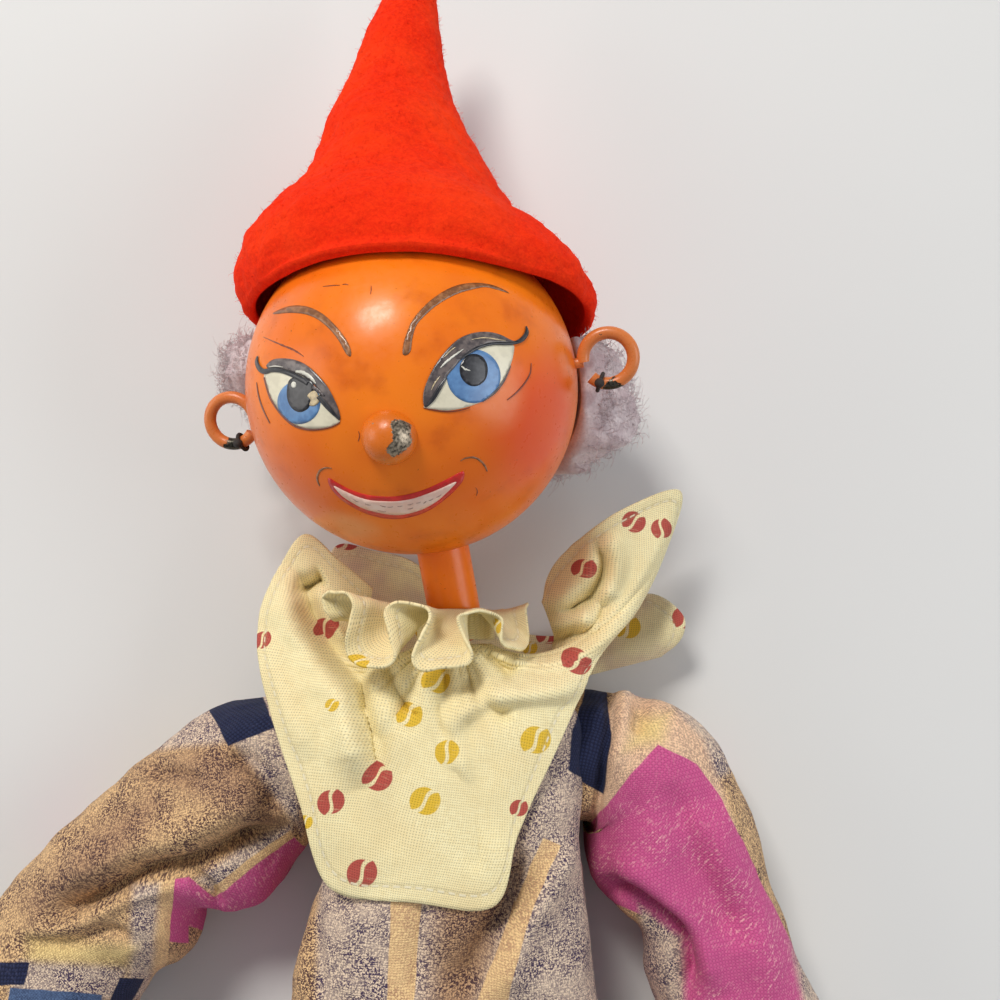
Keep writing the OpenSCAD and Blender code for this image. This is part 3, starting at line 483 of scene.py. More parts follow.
def face():
    white = flat_paint("eye_white", (0.80, 0.74, 0.56), vary=0.12)
    blue = flat_paint("eye_blue", (0.085, 0.20, 0.42), other=(0.13, 0.29, 0.55), scale=0.5)
    black = flat_paint("eye_black", (0.008, 0.008, 0.012), other=(0.035, 0.034, 0.04), scale=0.9)
    lid = flat_paint("lid_grey", (0.065, 0.052, 0.055), other=(0.17, 0.135, 0.125), scale=0.8)
    brow = flat_paint("brow_brown", (0.20, 0.075, 0.025), other=(0.36, 0.15, 0.055), scale=1.1)
    light = flat_paint("eye_light", (0.80, 0.78, 0.68), vary=0.2)
    line = flat_paint("fine_line", (0.20, 0.035, 0.012), vary=0.3)
    red = flat_paint("lip_red", (0.52, 0.012, 0.010), other=(0.70, 0.022, 0.014), scale=0.4)
    tooth = flat_paint("tooth_pink", (0.80, 0.52, 0.42), other=(0.84, 0.62, 0.52), scale=0.5)
    chip = flat_paint("chip_cream", (0.66, 0.52, 0.30), other=(0.42, 0.33, 0.20), scale=1.5)
    scratch = flat_paint("scratch_brown", (0.30, 0.055, 0.012), vary=0.4, scale=1.5)
    tick = flat_paint("tooth_grey", (0.46, 0.29, 0.24), vary=0.3)

    # the eye on the puppet's right
    almond = eye_r((195, 835), (240, 800), (330, 785), (440, 815), (540, 870), (625, 960), (705, 1070),
            (800, 1200), (760, 1240), (680, 1265), (560, 1272), (450, 1245), (370, 1190), (300, 1110),
            (240, 1010), (205, 915))
    paint("eye_white_right", almond, 0.05, white)
    shape = closed_curve(almond, 120)
    paint("eye_iris_right", clip(closed_curve(ellipse(299.2, 402.3, 21.4, 21.6), 90), shape), 0.09, blue,
            count=60)
    paint("eye_pupil_right", eye_r((400, 880), (470, 850), (560, 880), (600, 940), (600, 1010), (570, 1060),
            (545, 1110), (480, 1136), (420, 1105), (385, 1040), (380, 960)), 0.13, black, count=60)
    paint("eye_chip_right", eye_r((560, 985), (600, 965), (630, 1000), (640, 1050), (600, 1085),
            (560, 1080), (570, 1040), (545, 1010)), 0.17, chip, count=40, step=2)
    paint("eye_spark_right", ellipse(294.4, 384.8, 2.5, 3.2, 16), 0.17, light, count=24, step=1.5)
    paint("eye_lid_right", eye_r((215, 768), (265, 720), (350, 708), (450, 722), (540, 765), (620, 835),
            (700, 930), (760, 1040), (795, 1130), (804, 1195), (770, 1160), (710, 1085), (655, 1020),
            (610, 930), (530, 862), (430, 818), (330, 788), (250, 790)), 0.15, lid, count=120)
    paint("eye_lash_right", stroke(eye_r((147, 690), (140, 735), (160, 785), (200, 812), (260, 800),
            (330, 806), (410, 832), (480, 865), (550, 905)), [0.8, 3.2, 4.6, 5.2, 4.4, 4.2, 4.6, 5.4, 5.6],
            60), 0.19, black, count=30)
    paint("eye_corner_right", stroke(eye_r((630, 1010), (700, 1090), (755, 1150), (802, 1200)),
            [4.5, 4.5, 3.2, 0.8], 30), 0.19, black, count=20)
    paint("eye_shine_right", stroke(eye_r((452, 812), (510, 822), (570, 860), (612, 908)),
            [2.0, 3.6, 3.2, 1.0], 30, 0.4), 0.22, light, count=20)
    paint("eye_gleam_right", stroke(eye_r((238, 778), (290, 770), (350, 778)), [0.4, 1.2, 0.5], 20), 0.21,
            light, count=14)
    paint("eye_worn_right", stroke(eye_r((585, 935), (625, 960), (680, 1010)), [3.6, 3.8, 1.2], 20, 0.5),
            0.23, lid, count=14)
    paint("eye_under_right", stroke(eye_r((196, 860), (240, 1012), (300, 1113), (370, 1193), (450, 1250),
            (560, 1277), (680, 1268), (760, 1243), (800, 1218)),
            [1.4, 1.5, 1.5, 1.6, 1.7, 1.5, 1.3, 1.0, 0.6], 60), 0.12, line, count=30)
    paint("eye_crease_right", stroke(eye_r((135, 900), (150, 1000), (185, 1110), (240, 1225)),
            [0.6, 1.3, 1.4, 0.8], 30), 0.08, line, count=20)
    paint("eye_streak_right", stroke(eye_r((185, 535), (330, 598), (430, 640), (510, 692)),
            [0.4, 1.6, 1.8, 0.5], 30, 0.6), 0.05, scratch, count=20)

    # the eye on the puppet's left
    almond = eye_l((270, 1100), (300, 1010), (375, 900), (450, 800), (560, 700), (680, 630), (800, 595),
            (900, 590), (985, 598), (990, 650), (970, 740), (920, 860), (850, 960), (760, 1040),
            (650, 1085), (560, 1110), (450, 1125), (340, 1112))
    paint("eye_white_left", almond, 0.05, white)
    shape = closed_curve(almond, 120)
    paint("eye_iris_left", clip(closed_curve(ellipse(473.5, 376.3, 26.8, 26.8), 90), shape), 0.09, blue,
            count=60)
    paint("eye_pupil_left", eye_l((560, 760), (600, 700), (660, 672), (730, 690), (772, 750), (778, 820),
            (755, 885), (700, 925), (640, 925), (590, 890), (560, 835)), 0.13, black, count=60)
    paint("eye_lid_left", eye_l((270, 1085), (267, 985), (308, 862), (368, 752), (440, 655), (520, 575),
            (600, 527), (700, 500), (800, 500), (885, 522), (960, 560), (1010, 578), (985, 592), (900, 585),
            (800, 597), (720, 622), (650, 662), (565, 722), (505, 790), (450, 855), (400, 932), (340, 1032),
            (290, 1092)), 0.15, lid, count=120)
    paint("eye_lash_left", stroke(eye_l((560, 715), (650, 650), (730, 612), (830, 590), (920, 590),
            (1000, 582), (1055, 555), (1088, 505), (1085, 452)),
            [2.2, 3.2, 3.0, 2.8, 3.2, 3.4, 4.6, 4.2, 0.8], 60), 0.19, black, count=30)
    paint("eye_corner_left", stroke(eye_l((450, 860), (395, 945), (340, 1035), (285, 1098)),
            [1.5, 4.2, 4.0, 1.0], 30), 0.19, black, count=20)
    for i, (a, b2, w) in enumerate([(((400, 785), (450, 735), (520, 680), (585, 635)), 0, 2.2),
            (((430, 700), (480, 650), (520, 620)), 0, 1.4),
            (((650, 560), (740, 545), (840, 556), (920, 572)), 0, 1.3),
            (((330, 960), (360, 900), (400, 850)), 0, 1.4)]):
        paint(f"eye_shine_left_{i}", stroke(eye_l(*a), [0.5, w, w * 0.8, 0.5], 24, 0.5, i), 0.22,
                light if i == 0 else chip, count=14)
    paint("eye_spark_left", stroke(eye_l((570, 770), (600, 795), (640, 805)), [0.8, 2.0, 0.6], 14, 0.6),
            0.17, light, count=14)
    paint("eye_under_left", stroke(eye_l((266, 1102), (340, 1119), (450, 1132), (560, 1122), (640, 1100)),
            [0.6, 1.3, 1.4, 1.1, 0.5], 40), 0.12, line, count=20)
    paint("eye_edge_left", stroke(eye_l((740, 1055), (830, 985), (905, 890), (965, 765)),
            [0.6, 2.2, 2.2, 0.6], 30), 0.12, lid, count=20)
    paint("eye_crease_left", stroke(eye_l((1128, 745), (1118, 830), (1072, 910), (1005, 985), (935, 1040)),
            [0.5, 1.2, 1.3, 1.3, 0.8], 30), 0.08, line, count=20)

    # brows
    paint("brow_right", eye_r((265, 352), (330, 312), (400, 290), (470, 284), (560, 300), (660, 350),
            (740, 420), (805, 492), (855, 565), (887, 635), (885, 692), (850, 672), (822, 620), (780, 550),
            (705, 462), (605, 385), (500, 350), (390, 343)), 0.07, brow, count=110)
    paint("brow_left", eye_l((102, 672), (108, 590), (140, 490), (170, 420), (232, 335), (330, 240),
            (450, 160), (560, 118), (680, 104), (785, 114), (870, 140), (955, 187), (860, 158), (760, 137),
            (680, 150), (560, 182), (460, 228), (360, 292), (272, 370), (212, 440), (182, 530), (165, 645),
            (130, 682)), 0.07, brow, count=110)

    # mouth
    paint("lips", smile((228, 622), (300, 662), (400, 714), (520, 754), (650, 770), (760, 770), (880, 750),
            (1000, 714), (1100, 670), (1200, 620), (1275, 580), (1312, 572), (1305, 640), (1240, 722),
            (1150, 802), (1050, 872), (950, 917), (850, 942), (750, 951), (650, 941), (540, 911),
            (440, 866), (350, 810), (280, 745), (235, 680)), 0.07, red, count=150)
    paint("teeth", smile((272, 685), (350, 722), (450, 767), (550, 797), (660, 807), (780, 807), (900, 787),
            (1020, 747), (1120, 707), (1200, 670), (1252, 652), (1190, 722), (1100, 802), (1000, 862),
            (900, 897), (800, 916), (700, 911), (600, 891), (500, 861), (400, 806), (330, 756)), 0.12,
            tooth, count=130)
    ticks = [((430, 790), (470, 812)), ((520, 825), (570, 835)), ((640, 838), (690, 850)),
            ((700, 852), (745, 848)), ((780, 846), (820, 842)), ((860, 835), (905, 824)),
            ((930, 820), (965, 812)), ((985, 822), (1010, 805)), ((1030, 800), (1065, 785)),
            ((1090, 775), (1130, 752)), ((620, 880), (690, 888)), ((860, 868), (905, 858))]
    for i, (a, b2) in enumerate(ticks):
        mid = ((a[0] + b2[0]) / 2, (a[1] + b2[1]) / 2 + 3)
        paint(f"tooth_mark_{i}", stroke(smile(a, mid, b2), [0.4, 0.9, 0.4], 10, 0.4, i), 0.16, tick,
                count=8)
    paint("dimple_right", stroke(smile((157, 688), (138, 625), (158, 568), (205, 542), (255, 546)),
            [0.6, 2.0, 2.1, 1.6, 0.6], 30, 0.3), 0.07, brow, count=20)
    paint("dimple_left", stroke(smile((1283, 488), (1325, 464), (1395, 460), (1448, 490), (1480, 530),
            (1497, 572)), [0.6, 1.5, 1.9, 2.0, 2.0, 0.7], 30, 0.3), 0.07, brow, count=20)
    for i, (pts, w) in enumerate([(eye_r((665, 133), (740, 125), (800, 122)), 0.9),
            (eye_r((820, 118), (845, 114), (868, 120)), 1.0),
            (eye_r((1048, 125), (1050, 155), (1044, 195)), 1.1),
            (smile((468, 250), (476, 285), (466, 330)), 1.0),
            (smile((1405, 700), (1420, 730), (1410, 765)), 0.8)]):
        paint(f"scratch_{i}", stroke(pts, [0.3, w, 0.4], 14, 0.7, i), 0.05, scratch, count=10)


face()

# nose and ears keep their CAD shapes
worn_nose = worn_paint("painted_tack", V([0.80, 0.175, 0.008]),
        [ball_point(405.5, 436, 3.2), ball_point(400, 443, 4.2), ball_point(403, 425, 2.4)], 1.7,
        (0.46, 0.38, 0.28))
ear_paint = worn_paint("painted_eye_wire", V([0.78, 0.22, 0.05]),
        [BALL + HEAD_X * 34.7 - HEAD_Y * 5, BALL - HEAD_X * 35.5 - HEAD_Y * 4.6], 1.7, (0.10, 0.09, 0.07))
dark_thread = thread_mat("dark_thread", (0.028, 0.022, 0.02))
steel_mat = steel("bright_steel")
wood_mat = bare_wood("bare_wood")
BY_SLOT = {"painted_wood": skin, "painted_limb": limb_paint, "painted_steel": ear_paint,
        "dark_thread": dark_thread, "bright_steel": steel_mat, "bare_wood": wood_mat}
for row in frame["record"]["subparts"]:
    made = BY_SLOT.get(row["material_slot"])
    if made:
        data = frame["nodes"][row["node"]].data
        data.materials.clear()
        data.materials.append(made)
frame["nodes"]["nose_tack"].data.materials[0] = worn_nose


# cloth: a grid of points, row by row, with its flat place on the cloth in millimetres
def grid_mesh(name, grid, uv, mat, body=None):
    """closed skin over rings of points, capped at both ends"""
    m, n = grid.shape[:2]
    verts = grid.reshape(-1, 3)
    flat = uv.reshape(-1, 2)
    faces, uvs = [], []
    for i in range(m - 1):
        for j in range(n):
            k = (j + 1) % n
            quad = (i * n + j, i * n + k, (i + 1) * n + k, (i + 1) * n + j)
            faces.append(quad)
            wrap = [flat[q] for q in quad]
            if k == 0:
                wrap[1] = 2 * flat[quad[0]] - flat[quad[0] - 1]
                wrap[2] = 2 * flat[quad[3]] - flat[quad[3] - 1]
            uvs += wrap
    for ring, far in ((0, False), (m - 1, True)):
        base, c = ring * n, len(verts)
        verts = np.vstack([verts, verts[base:base + n].mean(0)])
        for j in range(n):
            k = (j + 1) % n
            faces.append((base + j, base + k, c) if far else (base + k, base + j, c))
            uvs += [flat[base + j], flat[base + k], flat[base + j]]
    return mesh_piece(name, verts, faces, mat, body, uvs)


def normals_of(grid, closed=True):
    du = np.roll(grid, -1, 1) - np.roll(grid, 1, 1) if closed else np.gradient(grid, axis=1)
    n = np.cross(du, np.gradient(grid, axis=0))
    return n / np.maximum(np.linalg.norm(n, axis=2, keepdims=True), 1e-9)


def out_of(grid):
    """normals of a tube, pointing out of it"""
    n = normals_of(grid)
    return n * np.sign(((grid - grid.mean(1, keepdims=True)) * n).sum(2, keepdims=True) + 1e-12)


def solid_sheet(name, grid, uv, hem, thick, body, up=1.0):
    """closed thin sheet whose under side is the grid; hem holds (place along the edge, distance from it)"""
    m, n = grid.shape[:2]
    s = m * n
    top = grid + normals_of(grid, False) * up * thick
    verts = np.vstack([grid.reshape(-1, 3), top.reshape(-1, 3)])
    quads = []
    for i in range(m - 1):
        for j in range(n - 1):
            a, b, c, d = i * n + j, i * n + j + 1, (i + 1) * n + j + 1, (i + 1) * n + j
            quads += [(s + a, s + b, s + c, s + d), (d, c, b, a)]
    rim = [(j, j + 1) for j in range(n - 1)] + [(i * n + n - 1, (i + 1) * n + n - 1) for i in range(m - 1)]
    rim += [((m - 1) * n + j + 1, (m - 1) * n + j) for j in range(n - 2, -1, -1)]
    rim += [((i + 1) * n, i * n) for i in range(m - 2, -1, -1)]
    quads += [(a, b, s + b, s + a) for a, b in rim]
    if up < 0:
        quads = [q[::-1] for q in quads]
    corner = V([q % s for quad in quads for q in quad])
    o = mesh_piece(name, verts, quads, None, body, uv.reshape(-1, 2)[corner])
    layer = o.data.uv_layers.new(name="hem")
    layer.data.foreach_set("uv", np.asarray(hem.reshape(-1, 2)[corner], np.float32).ravel())
    return o


def bend_pow(v, e):
    return np.sign(v) * np.abs(v) ** e


def ridge(x, width):
    """rounded fold of that width with its top at 0"""
    return np.exp(-(x / width) ** 2)


def turned(angle):
    """angle brought between minus and plus half a turn"""
    return (angle + np.pi) % (2 * np.pi) - np.pi


def wobble(g, scale, seed, octaves=2):
    out, amp = 0.0, 1.0
    points = g.reshape(-1, 3)
    for _ in range(octaves):
        places = points * scale + (seed, 2.3 * seed, -seed)
        out = out + amp * V([noise.noise(Vector(p)) for p in places])
        scale, amp = scale * 2.1, amp * 0.5
    return out.reshape(g.shape[:2])


PX_PER_MM = 5.8
# shift, in pixels, that takes hidden faces off the map of the picture
FAR_OFF = 5000


def crease(g, line, height, left, right):
    """lift of a fold that follows a line of the picture, with a width for each side of it"""
    ends = spline(V(line, float), np.linspace(0, 1, 20)) / PX_PER_MM
    lengths = np.linalg.norm(np.diff(ends, axis=0), axis=1)
    p = pixels_of(g) / PX_PER_MM
    best, side, far = np.full(p.shape[:2], 1e9), np.zeros(p.shape[:2]), np.zeros(p.shape[:2])
    start = 0.0
    for a, b, size in zip(ends[:-1], ends[1:], lengths):
        ab, ap = b - a, p - a
        f = np.clip((ap @ ab) / size ** 2, 0, 1)
        d = np.linalg.norm(ap - f[..., None] * ab, axis=2)
        near = d < best
        side = np.where(near, ab[1] * ap[..., 0] - ab[0] * ap[..., 1], side)
        far = np.where(near, start + f * size, far)
        best = np.minimum(best, d)
        start += size
    far /= start
    fade = np.clip(np.minimum(far, 1 - far) * 6, 0, 1)
    return height * ridge(best, np.where(side > 0, left, right)) * fade


SINK = 1.6
LIMB_E = 0.9


def tube_grid(keys, rows, cols, e, push):
    """rings of points round a padded limb that lies on the table; push(u, t) lets the skin in and out"""
    u = np.linspace(0, 1, rows)
    k = spline(keys, u)
    t = np.linspace(0, 2 * np.pi, cols, endpoint=False)[None, :]
    head = np.radians(k[:, 2])[:, None]
    a = k[:, 3][:, None] * bend_pow(np.cos(t), e)
    mid, h = (k[:, 4][:, None] - SINK) / 2, (k[:, 4][:, None] + SINK) / 2
    x = k[:, 0][:, None] - np.sin(head) * a
    y = k[:, 1][:, None] + np.cos(head) * a
    g = np.stack([x, y, mid + h * bend_pow(np.sin(t), e)], 2)
    g = g + out_of(g) * push(u[:, None] * np.ones_like(t), t * np.ones((rows, 1)))[..., None]
    g[..., 2] = np.maximum(g[..., 2], CLOTH_LOW + 0.1 * np.sin(g[..., 0] * 0.9) * np.sin(g[..., 1] * 0.7))
    return g, k


def evenly(keys, count):
    """the stations of a tube, respaced evenly along its centre line"""
    line = spline(keys, np.linspace(0, 1, 240))
    dist = np.concatenate([[0], np.cumsum(np.hypot(*np.diff(line[:, :2], axis=0).T))])
    return np.stack([np.interp(np.linspace(0, dist[-1], count), dist, line[:, c]) for c in range(5)], 1)


def with_folds(g, folds, broad, fine, seed):
    """the picture's folds and a soft unevenness pressed into the upper side of a tube"""
    nn = out_of(g)
    up = np.clip(nn[..., 2] * 2.0, 0, 1)
    d = wobble(g, 0.06, seed) * broad + wobble(g, 0.2, seed + 10) * fine
    for line, height, left, right in folds:
        d = d + 1.5 * crease(g, line, height, left, right) * up
    return g + nn * d[..., None]


def cloth_uv(g, spin=0.0, offset=(0, 0)):
    """flat cloth coordinates of a tube, by its mean girth and its mean length"""
    girth = np.linalg.norm(np.roll(g, -1, 1) - g, axis=2).mean(0)
    u = (np.cumsum(girth) - girth)[None, :] * np.ones((len(g), 1))
    steps = np.linalg.norm(np.diff(g, axis=0), axis=2).mean(1)
    v = np.concatenate([[0], np.cumsum(steps)])[:, None] * np.ones((1, g.shape[1]))
    c, s = math.cos(math.radians(spin)), math.sin(math.radians(spin))
    return np.stack([u * c - v * s + offset[0], u * s + v * c + offset[1]], 2)


# places on the cloth, found through the picture
def tree_of(o):
    return BVHTree.FromPolygons([v.co for v in o.data.vertices],
            [tuple(p.vertices) for p in o.data.polygons])


def cloth_place(o, tree, x, y):
    """distance from the camera and flat cloth place of the point of a piece that a pixel shows"""
    hit, _, index, dist = tree.ray_cast(Vector(CAM_AT * MM), Vector(pixel_ray(x, y)))
    if hit is None:
        return None
    face = o.data.polygons[index]
    share = poly_3d_calc([o.data.vertices[i].co for i in face.vertices], hit)
    uv = sum((V(o.data.uv_layers["cloth"].data[k].uv) * w for k, w in zip(face.loop_indices, share)),
            V([0.0, 0.0]))
    return dist, uv


def map_pixels(o):
    """map of the picture's pixels on the faces turned to the camera; the others lie far off it"""
    me = o.data
    co = np.empty(len(me.vertices) * 3)
    me.vertices.foreach_get("co", co)
    corner = np.empty(len(me.loops), np.int32)
    me.loops.foreach_get("vertex_index", corner)
    uv = pixels_of(co.reshape(-1, 3) / MM)[corner]
    normals, centres = np.empty(len(me.polygons) * 3), np.empty(len(me.polygons) * 3)
    me.polygons.foreach_get("normal", normals)
    me.polygons.foreach_get("center", centres)
    away = ((centres.reshape(-1, 3) / MM - CAM_AT) * normals.reshape(-1, 3)).sum(1) > 0
    uv[np.repeat(away, [p.loop_total for p in me.polygons])] += FAR_OFF
    me.uv_layers.new(name="seen").data.foreach_set("uv", np.asarray(uv, np.float32).ravel())


def polygon_mask(t, uv, corners, soft=0.6):
    """1 inside a convex polygon of the picture, 0 outside"""
    c = V(corners)
    nxt = np.roll(c, -1, 0)
    if (c[:, 0] * nxt[:, 1] - nxt[:, 0] * c[:, 1]).sum() < 0:
        c, nxt = nxt, c
    inside = None
    for a, b in zip(c, nxt):
        n = V([a[1] - b[1], b[0] - a[0]]) / np.linalg.norm(b - a)
        d = calc(t, "SUBTRACT", vcalc(t, "DOT_PRODUCT", uv, (n[0], n[1], 0.0), out=1), float(n @ a))
        inside = d if inside is None else calc(t, "MINIMUM", inside, d)
    return ramp(t, inside, -soft, soft)


# materials of cloth, from flat cloth coordinates in millimetres
PLAID = 64.0
PLAID_THREAD, COTTON_THREAD = 0.42, 0.40
MAGENTA, NAVY, STRAW = ((0, 30),), ((43, 52),), ((30, 34.5), (59.5, 64))


def spans(t, coord, ranges, soft=0.12):
    f = calc(t, "SUBTRACT", coord, times(t, calc(t, "FLOOR", calc(t, "DIVIDE", coord, PLAID)), PLAID))
    total = None
    for a, b in ranges:
        one = times(t, ramp(t, f, a - soft, a + soft), ramp(t, f, b + soft, b - soft))
        total = one if total is None else plus(t, total, one)
    return calc(t, "MINIMUM", total, 1.0)


def place_on(t, layer="cloth"):
    sep = t.nodes.new("ShaderNodeSeparateXYZ")
    uv = t.nodes.new("ShaderNodeUVMap")
    uv.uv_map = layer
    t.links.new(uv.outputs[0], sep.inputs[0])
    return uv.outputs[0], sep.outputs[0], sep.outputs[1]


def weave(t, x, y, pitch):
    """height of a plain weave, the threads along y that lie on top, and the pores between threads"""
    a = calc(t, "SINE", times(t, x, math.pi / pitch))
    b = calc(t, "SINE", times(t, y, math.pi / pitch))
    c = times(t, a, b)
    widest = calc(t, "MAXIMUM", calc(t, "ABSOLUTE", a), calc(t, "ABSOLUTE", b))
    return calc(t, "POWER", calc(t, "ABSOLUTE", c), 0.6), ramp(t, c, -0.08, 0.08), ramp(t, widest, 0.85,
            0.3)


def blend_value(t, share, a, b):
    n = t.nodes.new("ShaderNodeMix")
    n.data_type = "FLOAT"
    give(t, n.inputs[0], share)
    give(t, n.inputs[2], a)
    give(t, n.inputs[3], b)
    return n.outputs[0]


def either(t, a, b):
    return calc(t, "MAXIMUM", a, b)


def plaid(name, patches=(), seen=(), base="warm"):
    """flecked cotton in a plaid; where the picture shows the cloth, its listed patches are laid on it"""
    m, t, b = material(name, rough=0.92, Specular_IOR_Level=0.25, Sheen_Weight=0.04, Sheen_Roughness=0.5)
    uv, _, _ = place_on(t)
    warp = vcalc(t, "SUBTRACT", noise_of(t, uv, 0.11, 2, out=1), (0.5, 0.5, 0.5))
    bent = vcalc(t, "ADD", uv, vcalc(t, "SCALE", warp, scale=1.6))
    sep = t.nodes.new("ShaderNodeSeparateXYZ")
    t.links.new(bent, sep.inputs[0])
    x, y = sep.outputs[0], sep.outputs[1]
    height, top, pore = weave(t, x, y, PLAID_THREAD)
    across = noise_of(t, vcalc(t, "MULTIPLY", bent, (3.4, 1.8, 1.0)), 1.0, 2, 0.6)
    down = noise_of(t, vcalc(t, "MULTIPLY", vcalc(t, "ADD", bent, (31.0, 17.0, 0.0)), (1.8, 3.4, 1.0)), 1.0,
            2, 0.6)
    fleck = blend_value(t, top, ramp(t, across, 0.43, 0.55), ramp(t, down, 0.43, 0.55))
    clumps = ramp(t, noise_of(t, uv, 0.16, 4, 0.65), 0.32, 0.68, 0.5, 1.2)
    fleck = times(t, fleck, clumps)
    light = ramp(t, noise_of(t, vcalc(t, "MULTIPLY", bent, (0.9, 2.2, 1.0)), 1.0, 3, 0.7), 0.52, 0.66)
    worn = times(t, light, ramp(t, noise_of(t, uv, 0.07, 2), 0.42, 0.62, 0.15, 0.8))
    purple = blend_colour(t, top, (0.56, 0.082, 0.245), (0.64, 0.112, 0.29))
    blue = blend_colour(t, top, (0.010, 0.013, 0.040), (0.020, 0.027, 0.075))
    kinds = {
        "cool": blend_colour(t, fleck, (0.86, 0.67, 0.50), (0.070, 0.045, 0.095)),
        "warm": blend_colour(t, fleck, (0.84, 0.55, 0.28), (0.095, 0.045, 0.045)),
        # a darker brown yarn mix, laid where the cloth lies in the shade of its folds: partly painted shade
        "shaded_brown": blend_colour(t, fleck, (0.56, 0.34, 0.19), (0.085, 0.042, 0.042)),
        "straw": blend_colour(t, times(t, fleck, 0.6), (0.92, 0.64, 0.32), (0.34, 0.15, 0.11)),
        "peach": blend_colour(t, times(t, fleck, 0.6), (0.92, 0.62, 0.40), (0.25, 0.14, 0.13)),
        "yellow": blend_colour(t, times(t, fleck, 0.55), (0.90, 0.68, 0.30), (0.26, 0.15, 0.07)),
        "magenta": blend_colour(t, worn, purple, (0.95, 0.50, 0.52)),
        "navy": blend_colour(t, times(t, worn, 0.3), blue, (0.10, 0.11, 0.22)),
        "blue": blend_colour(t, times(t, fleck, 0.6), (0.10, 0.16, 0.30), (0.02, 0.03, 0.08)),
    }
    mu, mv = spans(t, x, MAGENTA), spans(t, y, MAGENTA)
    nu, nv = spans(t, x, NAVY), spans(t, y, NAVY)
    lines = either(t, spans(t, x, STRAW), spans(t, y, STRAW))
    c = blend_colour(t, either(t, mu, mv), kinds["cool"], kinds["warm"])
    c = blend_colour(t, times(t, times(t, either(t, nu, nv), 0.3), fleck), c, (0.03, 0.03, 0.075))
    c = blend_colour(t, times(t, lines, 0.5), c, kinds["straw"])
    c = blend_colour(t, times(t, mu, mv), c, kinds["magenta"])
    c = blend_colour(t, times(t, nu, nv), c, kinds["navy"])
    if len(seen):
        pixel, _, _ = place_on(t, "seen")
        pixel = vcalc(t, "ADD", pixel, vcalc(t, "SCALE", warp, scale=7.0))
        drawn = kinds[base]
        for kind, corners in patches:
            soft = SOFT_KINDS.get(kind, 0.8)
            drawn = blend_colour(t, polygon_mask(t, pixel, corners, soft), drawn, kinds[kind])
        c = blend_colour(t, polygon_mask(t, pixel, seen, 2.0), c, drawn)
    # painted shade: the pores between threads are darkened
    c = blend_colour(t, times(t, pore, 0.45), c, vcalc(t, "SCALE", c, scale=0.35))
    give(t, b.inputs["Base Color"], c)
    bump(t, b, plus(t, height, times(t, noise_of(t, uv, 3.0, 2), 0.5)), 0.6, 0.12)
    return m


# how far, in pixels, the threads of a patch run into the next
SOFT_KINDS = {"shaded_brown": 20.0, "cool": 6.0, "warm": 6.0, "peach": 6.0, "yellow": 12.0}


def dress(o, name, patches, seen, base):
    """plaid for one piece, with the picture's patches on it"""
    map_pixels(o)
    o.data.materials.clear()
    o.data.materials.append(plaid(name, patches, seen, base))


def split_dot(t, x, y, angle, radius):
    """mask of a printed dot in two halves with a curved gap between them"""
    c, s = math.cos(angle), math.sin(angle)
    px = plus(t, times(t, x, c), times(t, y, s))
    py = calc(t, "SUBTRACT", times(t, y, c), times(t, x, s))
    curve = times(t, calc(t, "SINE", times(t, px, 2.6 / radius)), radius * 0.26)
    off = calc(t, "SUBTRACT", py, curve)
    slid = plus(t, px, times(t, calc(t, "SIGN", off), radius * 0.10))
    d = calc(t, "SQRT", plus(t, times(t, slid, slid), times(t, py, py)))
    gap = ramp(t, calc(t, "ABSOLUTE", off), radius * 0.09, radius * 0.19)
    return times(t, ramp(t, d, radius * 1.04, radius * 0.96), gap)


RED_INK = (0.44, 0.03, 0.035)
YELLOW_INK = (0.76, 0.48, 0.012)
DOT_R = 2.35
HEM = 2.4


